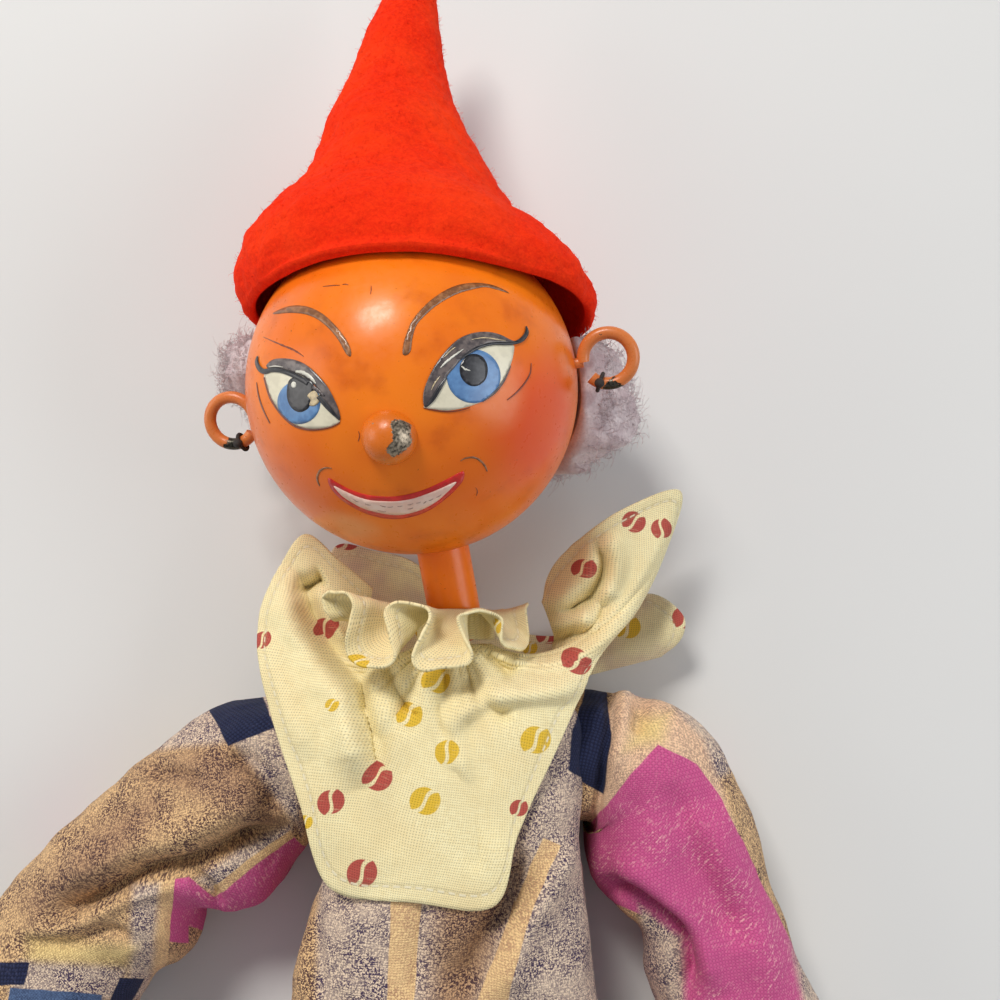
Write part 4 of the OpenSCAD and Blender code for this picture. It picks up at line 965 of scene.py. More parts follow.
def cotton(name, dots=(), scatter=0.0, tint=(0.84, 0.68, 0.36), tinted=0.6):
    """spotted cotton of a plain weave, with a stitched hem"""
    m, t, b = material(name, rough=0.9, Specular_IOR_Level=0.25, Sheen_Weight=0.03, Sheen_Roughness=0.5)
    uv, x, y = place_on(t)
    # the threads run a little askew and bend
    askew = node(t, "VectorRotate", Vector=uv, Angle=0.16, rotation_type="Z_AXIS")
    askew = vcalc(t, "ADD", askew, vcalc(t, "SCALE", noise_of(t, uv, 0.035, 1, out=1), scale=7.0))
    sep = t.nodes.new("ShaderNodeSeparateXYZ")
    t.links.new(askew, sep.inputs[0])
    height, top, pore = weave(t, sep.outputs[0], sep.outputs[1], COTTON_THREAD)
    slub = noise_of(t, vcalc(t, "MULTIPLY", askew, (0.5, 2.6, 1.0)), 1.0, 3, 0.6)
    slub2 = noise_of(t, vcalc(t, "MULTIPLY", askew, (2.6, 0.5, 1.0)), 1.0, 3, 0.6)
    cloth = blend_colour(t, ramp(t, blend_value(t, top, slub, slub2), 0.35, 0.65), (0.96, 0.86, 0.52),
            (0.88, 0.76, 0.43))
    cloth = blend_colour(t, ramp(t, noise_of(t, uv, 0.06, 3), 0.40, 0.70, 0.0, tinted), cloth, tint)
    shade = ramp(t, slub, 0.2, 0.45, 0.75, 1.0)
    for cx, cy, angle, size, ink in dots:
        mask = split_dot(t, calc(t, "SUBTRACT", x, cx), calc(t, "SUBTRACT", y, cy), angle, DOT_R * size)
        cloth = blend_colour(t, times(t, times(t, mask, shade), 0.92), cloth, ink)
    if scatter:
        v = t.nodes.new("ShaderNodeTexVoronoi")
        v.voronoi_dimensions = "2D"
        give(t, v.inputs["Vector"], uv)
        give(t, v.inputs["Scale"], 1.0 / scatter)
        give(t, v.inputs["Randomness"], 0.5)
        local, hue = t.nodes.new("ShaderNodeSeparateXYZ"), t.nodes.new("ShaderNodeSeparateXYZ")
        t.links.new(vcalc(t, "SUBTRACT", uv, v.outputs["Position"]), local.inputs[0])
        t.links.new(v.outputs["Color"], hue.inputs[0])
        mask = split_dot(t, local.outputs[0], local.outputs[1], 0.9, DOT_R)
        ink = blend_colour(t, ramp(t, hue.outputs[0], 0.49, 0.51), RED_INK, YELLOW_INK)
        cloth = blend_colour(t, times(t, mask, 0.92), cloth, ink)
    _, along, deep = place_on(t, "hem")
    on_line = times(t, ramp(t, deep, HEM - 0.30, HEM - 0.18), ramp(t, deep, HEM + 0.18, HEM + 0.06))
    beat = calc(t, "FRACT", calc(t, "DIVIDE", along, 1.9))
    stitch = times(t, on_line, times(t, ramp(t, beat, 0.04, 0.12), ramp(t, beat, 0.72, 0.64)))
    dip = times(t, ramp(t, deep, HEM - 0.7, HEM - 0.1), ramp(t, deep, HEM + 0.7, HEM + 0.1))
    # painted shade: the pores between threads are darkened
    cloth = blend_colour(t, times(t, pore, 0.75), cloth, vcalc(t, "SCALE", cloth, scale=0.42))
    # painted shade along the sunken line of the hem
    cloth = blend_colour(t, times(t, dip, 0.22), cloth, (0.46, 0.37, 0.20))
    cloth = blend_colour(t, times(t, stitch, 0.8), cloth, (0.84, 0.77, 0.56))
    give(t, b.inputs["Base Color"], cloth)
    rise = calc(t, "SUBTRACT", times(t, stitch, 1.6), times(t, dip, 2.2))
    bump(t, b, plus(t, height, rise), 0.55, 0.10)
    return m


def felt_mat(name):
    m, t, b = material(name, rough=0.95, Specular_IOR_Level=0.1, Sheen_Weight=0.12, Sheen_Roughness=0.35,
                       Sheen_Tint=(1.0, 0.16, 0.05, 1.0))
    p = in_mm(t)
    swirl = vcalc(t, "SCALE", noise_of(t, p, 0.6, 2, out=1), scale=2.5)
    fibre = noise_of(t, vcalc(t, "ADD", p, swirl), 1.4, 5, 0.75)
    c = blend_colour(t, ramp(t, fibre, 0.30, 0.70), (0.76, 0.018, 0.003), (0.94, 0.036, 0.005))
    c = blend_colour(t, ramp(t, noise_of(t, p, 0.06, 3), 0.4, 0.7, 0, 0.35), c, (0.98, 0.07, 0.008))
    # painted shade in small pits of the felt
    pores = ramp(t, noise_of(t, p, 0.75, 4, 0.7), 0.52, 0.64)
    c = blend_colour(t, times(t, pores, 0.2), c, (0.52, 0.010, 0.004))
    give(t, b.inputs["Base Color"], c)
    rough = plus(t, noise_of(t, p, 2.2, 4, 0.7), times(t, noise_of(t, p, 0.8, 3), 1.8))
    bump(t, b, rough, 0.6, 0.24)
    return m


def wool_mat(name):
    m, t, b = material(name, rough=0.9, Sheen_Weight=0.4, Sheen_Roughness=0.5)
    p = in_mm(t)
    c = blend_colour(t, ramp(t, noise_of(t, p, 0.25, 4), 0.35, 0.7), (0.62, 0.48, 0.50), (0.88, 0.76, 0.76))
    c = blend_colour(t, ramp(t, noise_of(t, p, 2.0, 3), 0.4, 0.65, 0, 0.5), c, (0.48, 0.36, 0.37))
    give(t, b.inputs["Base Color"], c)
    bump(t, b, noise_of(t, p, 2.5, 4, 0.8), 0.8, 0.2)
    return m


def add_strand(verts, faces, path, radius, sides=3):
    """thin closed tube along a path, tapering to its end"""
    d = np.gradient(path, axis=0)
    d /= np.maximum(np.linalg.norm(d, axis=1, keepdims=True), 1e-9)
    a = np.cross(d, V([0.3, 0.5, 0.81]))
    a /= np.maximum(np.linalg.norm(a, axis=1, keepdims=True), 1e-9)
    b = np.cross(d, a)
    start, m = len(verts), len(path)
    for i in range(m):
        r = radius * (1 - 0.65 * i / (m - 1))
        for q in range(sides):
            w = 2 * math.pi * q / sides
            verts.append(path[i] + (a[i] * math.cos(w) + b[i] * math.sin(w)) * r)
    for i in range(m - 1):
        for q in range(sides):
            n = (q + 1) % sides
            low, high = start + i * sides, start + (i + 1) * sides
            faces.append((low + q, low + n, high + n, high + q))
    faces.append(tuple(start + q for q in range(sides - 1, -1, -1)))
    faces.append(tuple(start + (m - 1) * sides + q for q in range(sides)))


# felt hat, from the ball's centre in ball radii
HAT = V([[0.04, 0.475, -0.05, 1.08, 0.96, 4], [0.005, 0.62, -0.07, 1.11, 1, 5],
        [-0.07, 0.82, -0.08, 1.015, 0.945, 6], [-0.11, 1.02, -0.095, 0.815, 0.805, 6],
        [-0.085, 1.19, -0.105, 0.695, 0.705, 6], [-0.1, 1.4, -0.105, 0.595, 0.61, 5],
        [-0.125, 1.61, -0.105, 0.505, 0.515, 4], [-0.145, 1.89, -0.12, 0.395, 0.4, 3],
        [-0.135, 2.145, -0.14, 0.31, 0.31, 2], [-0.115, 2.425, -0.175, 0.25, 0.25, 1],
        [-0.075, 2.72, -0.21, 0.18, 0.18, 0], [-0.03, 3.02, -0.245, 0.105, 0.105, 0],
        [-0.01, 3.2, -0.265, 0.04, 0.04, 0]])
FELT = 2.0
NAP_FIBRES, CURLS = 3600, 3000
HAT_TILT = 4


def hat_grid(u, cols, grow, clear, low, lumps):
    k = spline(HAT, u)
    t = np.linspace(0, 2 * np.pi, cols, endpoint=False)[None, :]
    c = BALL + HEAD_R * k[:, :3]
    a = np.maximum(HEAD_R * k[:, 3] + grow, 0.3)[:, None]
    b = np.maximum(HEAD_R * k[:, 4] + grow, 0.3)[:, None] + np.where(np.sin(t) < 0, 2.4, 0) * np.minimum(1,
            a / 20)
    tilt = np.radians(k[:, 5])[:, None]
    g = np.stack([c[:, 0:1] - a * np.cos(t), c[:, 1:2] + b * np.sin(t) * np.sin(tilt),
            c[:, 2:3] + b * np.sin(t) * np.cos(tilt)], 2)
    if lumps:
        w = wobble(g, 0.085, 5.0) * 0.8 + wobble(g, 0.4, 9.0) * 0.35
        d = g - c[:, None, :]
        reach = np.maximum(np.linalg.norm(d, axis=2, keepdims=True), 1e-6)
        g = g + d / reach * ((w - 0.25) * np.minimum(1, a / 12) * lumps)[..., None]
    d = g - BALL
    r = np.linalg.norm(d, axis=2, keepdims=True)
    g = np.where(r < clear, BALL + d * clear / np.maximum(r, 1e-6), g)
    g[..., 2] = np.maximum(g[..., 2], low)
    return g


def make_hat():
    cols = 220
    outer = hat_grid(np.linspace(0, 1, 170), cols, 0.0, HEAD_R + 0.9 + FELT, 0.1, 1.0)
    inner = hat_grid(np.linspace(0, 8 / 14, 26), cols, -FELT, HEAD_R + 0.8, FELT, 0.0)
    # the brim's cut edge is rounded over between the two skins
    edge = [inner[0] * (1 - f) + outer[0] * f - HEAD_Y * 0.75 * math.sin(math.pi * f)
            for f in (0.2, 0.4, 0.6, 0.8)]
    g = np.concatenate([inner[::-1], V(edge), outer], 0)
    uv = np.stack(np.meshgrid(np.linspace(0, 200, cols), np.linspace(0, 100, len(g))), 2)
    felt = felt_mat("red_felt")
    hat = grid_mesh("felt_hat_cloth", g, uv, felt, body="head")
    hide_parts("felt_hat")
    # short fibres of the nap
    rnd = random.Random(17)
    nn = out_of(outer)
    verts, faces = [], []
    for _ in range(NAP_FIBRES):
        i, j = rnd.randrange(0, 160), rnd.randrange(cols)
        side = V([rnd.uniform(-1, 1) for _ in range(3)])
        size = rnd.uniform(0.5, 1.3)
        path = [outer[i, j] + nn[i, j] * (0.42 * size * math.sin(2.4 * f) - 0.05) + side * size * 0.7 * f
                for f in (0, 0.33, 0.66, 1)]
        add_strand(verts, faces, V([[p[0], p[1], max(p[2], 0.1)] for p in path]), 0.035)
    nap = mesh_piece("felt_hat_nap", verts, faces, felt, "head")


BIB_FLAT = (82.0, 72.0, 3700.0)
BACK_FLAT = (80.0, 34.0, 1600.0)
FRILL_FLAT = (120.0, 17.0, 1300.0)
make_hat()

# wool hair round the back of the ball
HAIR = V([[-84, 0.076, 22, 9], [-75, 0.331, 24, 4], [-62, 0.331, 24, -4], [-44, 0.152, 22, -12],
        [-10, 0.083, 18, -18], [15, 0.083, 18, -20], [35, 0.172, 20, -22], [52, 0.31, 21, -22],
        [66, 0.397, 22, -20], [78, 0.362, 22, -16], [88, 0.121, 20, -6]])


def hat_to_table(p):
    c, s = math.cos(math.radians(HAT_TILT)), math.sin(math.radians(HAT_TILT))
    return BALL + np.stack([p[..., 0], p[..., 1] * c + p[..., 2] * s, -p[..., 1] * s + p[..., 2] * c], -1)


def make_hair():
    rows, back, out_n = 130, 20, 40
    k = spline(HAIR, np.linspace(0, 1, rows))
    u = np.concatenate([np.linspace(1, 0, back, endpoint=False), np.linspace(0, 1, out_n)])[None, :]
    is_out = np.concatenate([np.zeros(back), np.ones(out_n)])[None, :]
    lat = np.radians(k[:, 3:4] + (k[:, 2:3] - k[:, 3:4]) * u)
    lon = np.radians(k[:, 0:1]) * np.ones_like(lat)
    puff = HEAD_R * k[:, 1:2] * np.sin(np.radians(180 * u * 0.94 + 5)) ** 0.6
    base = np.stack([np.cos(lat) * np.sin(lon), np.sin(lat), -np.cos(lat) * np.cos(lon)], 2)
    lump = wobble(base * (HEAD_R + 8), 0.16, 3.0, 3)
    r = HEAD_R + 0.8 + is_out * puff * (0.92 + 0.42 * lump)
    g = hat_to_table(base * r[..., None])
    g[..., 2] = np.maximum(g[..., 2], 0.1)
    wool = wool_mat("wool")
    hair = grid_mesh("wool_hair_mass", g, np.zeros(g.shape[:2] + (2,)), wool, body="head")
    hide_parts("wool_hair")
    # curly strands that stand out of the mass
    rnd = random.Random(7)
    verts, faces = [], []
    for _ in range(CURLS):
        i, j = rnd.randrange(2, rows - 2), rnd.randrange(back + 1, back + out_n - 1)
        if k[i, 1] < 0.10 and rnd.random() < 0.6:
            continue
        root = g[i, j]
        n = (root - BALL) / np.linalg.norm(root - BALL)
        side = np.cross(n, V([rnd.uniform(-1, 1) for _ in range(3)]))
        side /= np.linalg.norm(side)
        third = np.cross(n, side)
        length = rnd.uniform(1.6, 4.2) * min(1.0, 0.35 + k[i, 1] * 2.2)
        curl, turns, phase = rnd.uniform(0.35, 0.95), rnd.uniform(0.7, 2.0), rnd.uniform(0, 6.3)
        lean = side * rnd.uniform(-1.6, 1.6) + third * rnd.uniform(-1.6, 1.6)
        path = []
        for f in np.linspace(0, 1, 10):
            spin = phase + 2 * math.pi * turns * f
            p = root - n * 0.3 + (n * (math.sin(f * 1.9) * 0.75) + lean * f * f * 0.7) * length * 0.75
            p = p + (side * math.cos(spin) + third * math.sin(spin)) * curl * f
            path.append([p[0], p[1], max(p[2], 0.12)])
        add_strand(verts, faces, V(path), rnd.uniform(0.05, 0.085))
    strands = mesh_piece("wool_hair_curls", verts, faces, wool, "head")


make_hair()

# suit
BLOCK_W, BLOCK_TOP, BLOCK_END, SUIT_PAD, CHEST_H = 38.0, 25.0, -47.0, 7.8, 36.0
TUNIC_E = 0.62
TUNIC_ROWS = [(-0.042, 0, -0.51, 0.75), (0, 0, 0.154, 0.903), (0.139, -0.013, 0.308, 0.961),
        (0.306, -0.077, 0.256, 0.983), (0.472, -0.359, 0.718, 1), (0.625, -0.462, 0.949, 0.989),
        (0.819, -0.282, 1, 0.944)]
TUNIC = V([[side * SUIT_PAD, BLOCK_TOP - down * (BLOCK_TOP - BLOCK_END), -90, BLOCK_W / 2 + w * SUIT_PAD,
        h * CHEST_H] for down, side, w, h in TUNIC_ROWS])


def tunic_top(x, y):
    order = np.argsort(TUNIC[:, 1])
    kx, kw, kt = (np.interp(y, TUNIC[order, 1], TUNIC[order, c]) for c in (0, 3, 4))
    v = np.clip(np.abs(x - kx) / kw, 0, 1)
    z = (kt - SINK) / 2 + (kt + SINK) / 2 * (1 - v ** (2 / TUNIC_E)) ** (TUNIC_E / 2)
    return np.where((v >= 1) | (y > TUNIC[0][1]) | (y < TUNIC[-1][1]), 0, z)


lap, near_arm, far_arm = view_at(280, 840), view_at(560, 640), view_at(0, 650)
TUNIC_FOLDS = [
    (lap((440, 160), (425, 250), (410, 360), (400, 490)), -0.9, 0.7, 1.4),
    (lap((720, 20), (700, 180), (610, 330), (530, 490)), -3.2, 2.0, 3.4),
    (lap((870, -20), (800, 130), (730, 260), (660, 490)), 1.9, 3.0, 2.0),
    (lap((110, 100), (95, 250), (110, 490)), -1.0, 1.5, 1.5),
    (lap((230, 190), (200, 300), (210, 490)), 0.5, 2.5, 2.5),
]
TUNIC_PATCHES = [
    # the darker brown patch left of the deep valley is partly painted shade
    ("shaded_brown", [(440, 870), (520, 830), (500, 920), (470, 1040), (425, 1040)]),
    ("straw", [(392, 870), (425, 870), (413, 1010), (386, 1010)]),
    ("straw", [(543, 838), (560, 845), (529, 917), (514, 905)]),
    ("straw", [(514, 900), (530, 912), (506, 1010), (474, 1010)]),
    ("warm", [(285, 840), (318, 870), (316, 1010), (280, 1010)]),
    ("navy", [(592, 668), (612, 690), (613, 740), (605, 794), (568, 771), (572, 730)]),
]
TUNIC_SEEN = [(270, 650), (640, 650), (640, 1030), (270, 1030)]


def make_tunic():
    g, _ = tube_grid(TUNIC, 130, 200, TUNIC_E, lambda u, t: -0.8 * ridge(u, 0.04))
    g = with_folds(g, TUNIC_FOLDS, 0.9, 0.25, 11.0)
    g[..., 2] = np.maximum(g[..., 2], CLOTH_LOW)
    uv = cloth_uv(g, 0, (12, 20))
    tunic = grid_mesh("tunic_cloth", g[::-1], uv[::-1], None, body="torso")
    dress(tunic, "plaid_tunic", TUNIC_PATCHES, TUNIC_SEEN, "cool")
    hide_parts("tunic")


make_tunic()


def limb(at, direction, length, width, height, rows):
    """stations of a limb: place, heading, half width and top, from its rows of shares"""
    d = math.radians(direction)
    return V([[at[0] + r[0] * length * math.sin(d) + r[1] * width * math.cos(d),
               at[1] - r[0] * length * math.cos(d) + r[1] * width * math.sin(d),
               direction - 90 + r[2], r[3] * width, r[4] * height] for r in rows])


def gathered_end(g, into):
    """rings that close an end of a tube: turned in at a cuff, or drawn to a point inside the next piece"""
    ring, out = g[-1], g[-1].mean(0) - g[-4].mean(0)
    out = out / max(np.linalg.norm(out), 1e-6)
    return V([ring + (ring.mean(0) - ring) * f + out * h for f, h in into])


CUFF = ((0.03, 0.4), (0.10, 0.4), (0.13, -0.6), (0.15, -2.4), (0.6, -2.6))
ARMHOLE = ((0.02, 1.3), (0.06, 2.6), (0.16, 3.8), (0.45, 4.8), (0.9, 5.0))
LEFT_UPPER = [(-0.02, -0.80, 74, 0.74, 0.93), (-0.003, -0.54, 68.5, 0.775, 0.949),
        (0.07, -0.26, 44.5, 0.863, 0.985), (0.19, -0.014, 10.5, 0.912, 0.985),
        (0.438, -0.039, 0.5, 0.938, 0.985), (0.652, -0.023, -0.5, 0.863, 0.949),
        (0.928, -0.017, -1.5, 0.85, 0.927)]
LEFT_LOWER = [(0.17, -0.015, -0.5, 0.85, 0.898), (0.405, -0.023, 0, 0.812, 0.825),
        (0.64, -0.019, 0, 0.662, 0.675), (0.815, -0.014, 0, 0.475, 0.504), (0.974, -0.019, 0, 0.431, 0.467)]
RIGHT_UPPER = [(-0.09, 0.426, -41, 0.775, 0.912), (0.015, 0.247, -18, 0.863, 0.949),
        (0.178, 0.015, -4, 0.938, 0.985), (0.412, -0.037, -2, 0.963, 1), (0.683, -0.044, 0, 0.963, 0.985),
        (0.902, -0.016, 9, 0.988, 0.949)]
RIGHT_LOWER = [(0.05, 0, -15.5, 1, 0.934), (0.204, -0.055, -4, 0.938, 0.912),
        (0.489, -0.053, 0, 0.875, 0.839), (0.732, -0.051, 0, 0.688, 0.679), (0.861, -0.05, 0, 0.475, 0.504),
        (0.985, -0.046, 0, 0.431, 0.467)]
SLEEVE_W, SLEEVE_H = 16.0, 27.4
ARM_LONG = PITCH + UPPER_ARM * math.cos(math.radians(ARM_SLOPE))
FORE_LONG = FOREARM * math.cos(math.radians(ARM_SLOPE))
SLEEVES = {1: {"rows": (LEFT_UPPER, LEFT_LOWER), "heads": (21.5, 21.5), "spin": -29.0, "base": "warm",
        "seen": [(540, 640), (760, 640), (860, 900), (860, 1030), (540, 1030)],
        "folds": [(near_arm((330, 420), (390, 600), (470, 760), (560, 930)), -1.3, 2.6, 3.4),
        (near_arm((440, 500), (520, 680), (610, 860), (640, 1080)), 1.0, 3.0, 3.0),
        (near_arm((60, 760), (190, 775), (290, 845), (345, 900), (370, 1000), (360, 1100)), -3.0, 2.6, 1.5),
        (near_arm((160, 640), (260, 730), (400, 880), (470, 1080)), 1.4, 2.6, 2.6),
        (near_arm((250, 110), (240, 200), (225, 290)), -1.6, 1.3, 1.3),
        (near_arm((190, 120), (185, 260), (150, 400)), 1.0, 1.6, 1.6),
        (near_arm((150, 90), (150, 250), (120, 430), (100, 560)), -1.5, 0.8, 0.8)],
        "patches": [("cool", [(610, 670), (720, 680), (740, 840), (700, 790), (600, 850)]),
        ("peach", [(612, 690), (665, 700), (705, 740), (735, 830), (590, 850), (600, 760)]),
        ("yellow", [(638, 715), (668, 715), (660, 742), (628, 748)]),
        ("magenta", [(657, 745), (697, 764), (722, 800), (800, 960), (665, 925), (560, 880), (560, 860)]),
        ("magenta", [(800, 960), (860, 1060), (684, 1060), (655, 915)]),
        ("cool", [(640, 905), (682, 938), (686, 1020), (640, 1020)]),
        ("cool", [(792, 940), (850, 940), (850, 1020), (806, 1020)]),
        ("navy", [(592, 668), (606, 690), (612, 735), (603, 794), (568, 771), (572, 730)])]},
        -1: {"rows": (RIGHT_UPPER, RIGHT_LOWER), "heads": (-49.0, -18.0), "spin": 24.0, "base": "warm",
        "seen": [(-20, 640), (330, 640), (330, 1030), (-20, 1030)],
        "folds": [(far_arm((880, 540), (760, 575), (640, 610), (560, 650), (470, 668), (400, 690),
        (300, 742), (190, 795), (110, 810)), -4.2, 1.5, 2.6),
        (far_arm((850, 430), (700, 480), (560, 560), (420, 600), (300, 660), (170, 740)), 2.2, 4.0, 4.5),
        (far_arm((110, 850), (250, 800), (400, 730), (540, 685)), 1.3, 2.0, 1.8),
        (far_arm((20, 885), (200, 885), (320, 850), (410, 890)), -1.2, 1.3, 1.3),
        (far_arm((430, 355), (540, 370), (610, 405)), -1.2, 1.2, 1.6),
        (far_arm((690, 300), (765, 340), (815, 410), (835, 500)), -1.8, 1.6, 2.2),
        (far_arm((560, 690), (590, 690), (640, 740), (660, 790)), -1.6, 1.2, 1.4)],
        # the darker brown patches by the armpit and low on the sleeve are partly painted shade
        "patches": [("shaded_brown", [(140, 770), (215, 740), (270, 765), (292, 815), (270, 835), (200, 800)]),
        ("shaded_brown", [(20, 900), (90, 830), (150, 790), (170, 800), (110, 880), (30, 925)]),
        ("cool", [(140, 750), (190, 700), (257, 655), (300, 660), (300, 730), (200, 745)]),
        ("cool", [(228, 735), (300, 700), (300, 830)]), ("navy",
        [(205, 701), (255, 680), (276, 728), (228, 746)]), ("navy",
        [(286, 722), (300, 722), (300, 760), (286, 768)]), ("cool",
        [(195, 880), (240, 848), (290, 826), (290, 840), (213, 892)]),
        ("straw", [(213, 886), (290, 830), (296, 838), (216, 899)]),
        ("magenta", [(214, 898), (294, 836), (310, 850), (300, 900), (225, 935), (186, 925)]),
        ("magenta", [(186, 925), (189, 876), (214, 898), (225, 935)]),
        ("magenta", [(175, 878), (189, 876), (188, 943), (170, 941)]),
        ("straw", [(158, 882), (175, 878), (170, 941), (160, 1000), (143, 1000)]),
        ("cool", [(133, 884), (160, 882), (150, 1000), (127, 1000)]),
        ("yellow", [(30, 938), (133, 948), (125, 968), (28, 962)]),
        ("cool", [(20, 962), (127, 968), (113, 1000), (10, 992)]),
        ("navy", [(-20, 960), (30, 963), (24, 985), (-20, 985)]),
        ("navy", [(120, 976), (144, 978), (128, 1010), (107, 1005)]),
        ("blue", [(10, 988), (102, 994), (97, 1020), (5, 1020)])]},}


def make_sleeve(s):
    own = SLEEVES[s]
    up_dir, low_dir = own["heads"]
    side = side_of(s)
    at = V([s * SHOULDER_X, SHOULDER_Y])
    axis, low = (V([math.sin(math.radians(d)), -math.cos(math.radians(d))]) for d in (up_dir, low_dir))
    elbow = at + ARM_LONG * axis
    upper, lower = own["rows"]
    keys = np.vstack([limb(at, up_dir, ARM_LONG, SLEEVE_W, SLEEVE_H, upper),
            limb(elbow, low_dir, FORE_LONG, SLEEVE_W, SLEEVE_H, lower)])

    def push(u, t):
        d = 0.8 * np.clip(np.sin(t), 0, 1) * np.sin(t * 9 + 3 * u) * np.exp(-u * 14)
        if s < 0:
            # the cloth hangs in a lobe inside the bend and is nipped in beyond it
            inner = np.clip(np.cos(t), 0, 1) ** 1.5
            d += inner * (3.4 * ridge(u - 0.27, 0.07) - 4.2 * ridge(u - 0.375, 0.03) + 1.4
                    * ridge(u - 0.46, 0.05))
        else:
            inner = np.clip(-np.cos(t), 0, 1) ** 1.5
            d += inner * (1.6 * ridge(u - 0.24, 0.06) - 2.4 * ridge(u - 0.38, 0.05))
        wrist = np.clip((u - 0.80) / 0.17, 0, 1)
        return d + 0.75 * np.sin(t * 13) * wrist * (1 - 0.6 * np.clip((u - 0.95) / 0.03, 0, 1))

    g, _ = tube_grid(evenly(keys, 40), 220, 170, LIMB_E, push)
    g = with_folds(g, own["folds"], 1.2, 0.3, 20.0 + s)
    g[..., 2] = np.maximum(g[..., 2], CLOTH_LOW)
    g = np.concatenate([gathered_end(g[::-1], ARMHOLE)[::-1], g, gathered_end(g, CUFF)], 0)
    g[..., 2] = np.maximum(g[..., 2], CLOTH_LOW)
    o = grid_mesh(f"sleeve_cloth_{side}", g, cloth_uv(g, own["spin"], (10.0, 5.0)), None)
    dress(o, f"plaid_sleeve_{side}", own["patches"], own["seen"], own["base"])
    reach = 9.0
    ends = [V([*(elbow + d * reach), 11.0]) * MM for d in (-axis, low)]
    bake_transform(o)
    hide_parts(f"sleeve_upper_{side}", f"sleeve_lower_{side}")


for side_sign in (1, -1):
    make_sleeve(side_sign)

# trousers
suit_cloth = plaid("plaid_cotton")
THIGH = [(-0.151, 0.061, -5, 0.915, 1), (0.001, 0.042, -5, 0.937, 0.982), (0.282, 0.026, -3, 0.986, 0.912),
         (0.523, 0.023, 0, 1, 0.853), (0.764, 0.019, 0, 0.972, 0.794)]
SHIN = [(0.25, 0.012, 0, 0.958, 0.735), (0.508, 0.009, 0, 0.901, 0.694), (0.675, 0.009, 0, 0.746, 0.629),
        (0.813, 0.003, 0, 0.606, 0.571), (0.896, 0, 0, 0.563, 0.559)]
LEG_W, LEG_H = 14.2, 34.0
THIGH_LONG = THIGH_ROD * math.cos(math.radians(THIGH_SLOPE))
SHIN_LONG = SHIN_ROD * math.cos(math.radians(SHIN_SLOPE))


def make_trousers(s):
    side = side_of(s)
    splay = math.radians(LEG_SPLAY * s)
    down = V([math.sin(splay), -math.cos(splay)])
    hip = V([HIP_X * s, HIP_Y])
    knee = hip + THIGH_LONG * down
    thigh, shin = ([(a, s * b, s * c, w, h) for a, b, c, w, h in rows] for rows in (THIGH, SHIN))
    keys = np.vstack([limb(hip, LEG_SPLAY * s, THIGH_LONG, LEG_W, LEG_H, thigh),
            limb(knee, LEG_SPLAY * s, SHIN_LONG, LEG_W, LEG_H, shin)])

    def push(u, t):
        fold = u - 0.02 * np.sin(2 * t)
        out = 0.8 * np.sin(t * 3 + 9 * u) * ridge(u - 0.55, 0.2) + 0.7 * ridge(fold - 0.59, 0.03)
        out -= 1.1 * ridge(fold - 0.545, 0.022) * np.clip(np.sin(t) + 0.3, 0, 1)
        return out + 0.9 * np.sin(11 * t) * np.clip((u - 0.82) / 0.14, 0, 1)

    g, k = tube_grid(evenly(keys, 50), 260, 150, 0.8, push)
    keep = np.clip(np.abs(g[..., 0]) / 3.0, 0.0, 1.0)
    uneven = keep * (wobble(g, 0.06, 40.0 + 3 * s) * 1.2 + wobble(g, 0.2, 50.0 + s) * 0.3)
    g = g + out_of(g) * uneven[..., None]
    g[..., 0] = np.where(g[..., 0] * s < 0.15, 0.15 * s, g[..., 0])
    g[..., 2] = np.maximum(g[..., 2], CLOTH_LOW)
    uv = cloth_uv(g, 0.0, (20.0 + 10 * s, 30.0))
    row = int(np.argmin(np.abs(k[:, 1] - (knee[1] + 12))))
    cuff = gathered_end(g, CUFF)
    leg = np.concatenate([g[row:], cuff], 0), np.concatenate([uv[row:], np.repeat(uv[-1:], len(cuff), 0)],
            0)
    for name, (gg, uu), upper, lower, node_name, at, z in (("trouser_hip", (g[:row + 1], uv[:row + 1]),
            "torso", f"thigh_{side}", f"trouser_upper_{side}", hip, 15.0),
            ("trouser_leg", leg, f"thigh_{side}", f"shin_{side}", f"trouser_lower_{side}", knee, 12.6)):
        o = grid_mesh(f"{name}_{side}", gg, uu, suit_cloth)
        ends = [tuple(V([*(at + down * reach), z]) * MM) for reach in (-8.0, 8.0)]
        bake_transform(o)
        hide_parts(node_name)


for side_sign in (1, -1):
    make_trousers(side_sign)

# collar: a bib in front, a flat back and a gathered frill round the neck
DROP = 35.0
FRILL_Y = NECK_AT[1] + 12.8
NECK_D = 9.5
BAND_R, BAND_H = NECK_D / 2 + 1.45, 5.4
FRILL_WAVES, FRILL_W, FRILL_WAVE, FRILL_LOOP = 8, 11.4, 5.6, 9.0
COTTON = 0.5
GATHER = (NECK @ V([0, 8, 0, 1]))[:3]
BIB = V([[0.366, 0.509, 0.511], [0.56, 0.709, 0.583], [0.817, 0.891, 0.639], [1.131, 1.003, 0.556],
        [1.07, 0.72, 0.472], [0.9, 0.391, 0.556], [0.67, 0.12, 0.722], [0.455, -0.29, 0.944],
        [0.26, -0.69, 1.006], [0.15, -1.01, 1.011], [-0.22, -1, 1.011], [-0.62, -0.94, 0.989],
        [-0.77, -0.56, 0.956], [-0.92, -0.2, 0.87], [-1.055, 0.211, 0.72], [-1.017, 0.491, 0.639],
        [-0.863, 0.76, 0.583], [-0.669, 0.623, 0.556], [-0.503, 0.486, 0.517]])
BACK = V([[-0.83, 0.5, 0.16], [-0.76, 0.75, 0.1], [-0.54, 0.72, 0.09], [-0.31, 0.64, 0.08],
        [-0.05, 0.4, 0.06], [0.35, 0.24, 0.05], [0.75, 0.28, 0.09], [1, 0.47, 0.25], [1.19, 0.34, 0.26],
        [1.16, 0.14, 0.2]])
bib = view_at(250, 520)
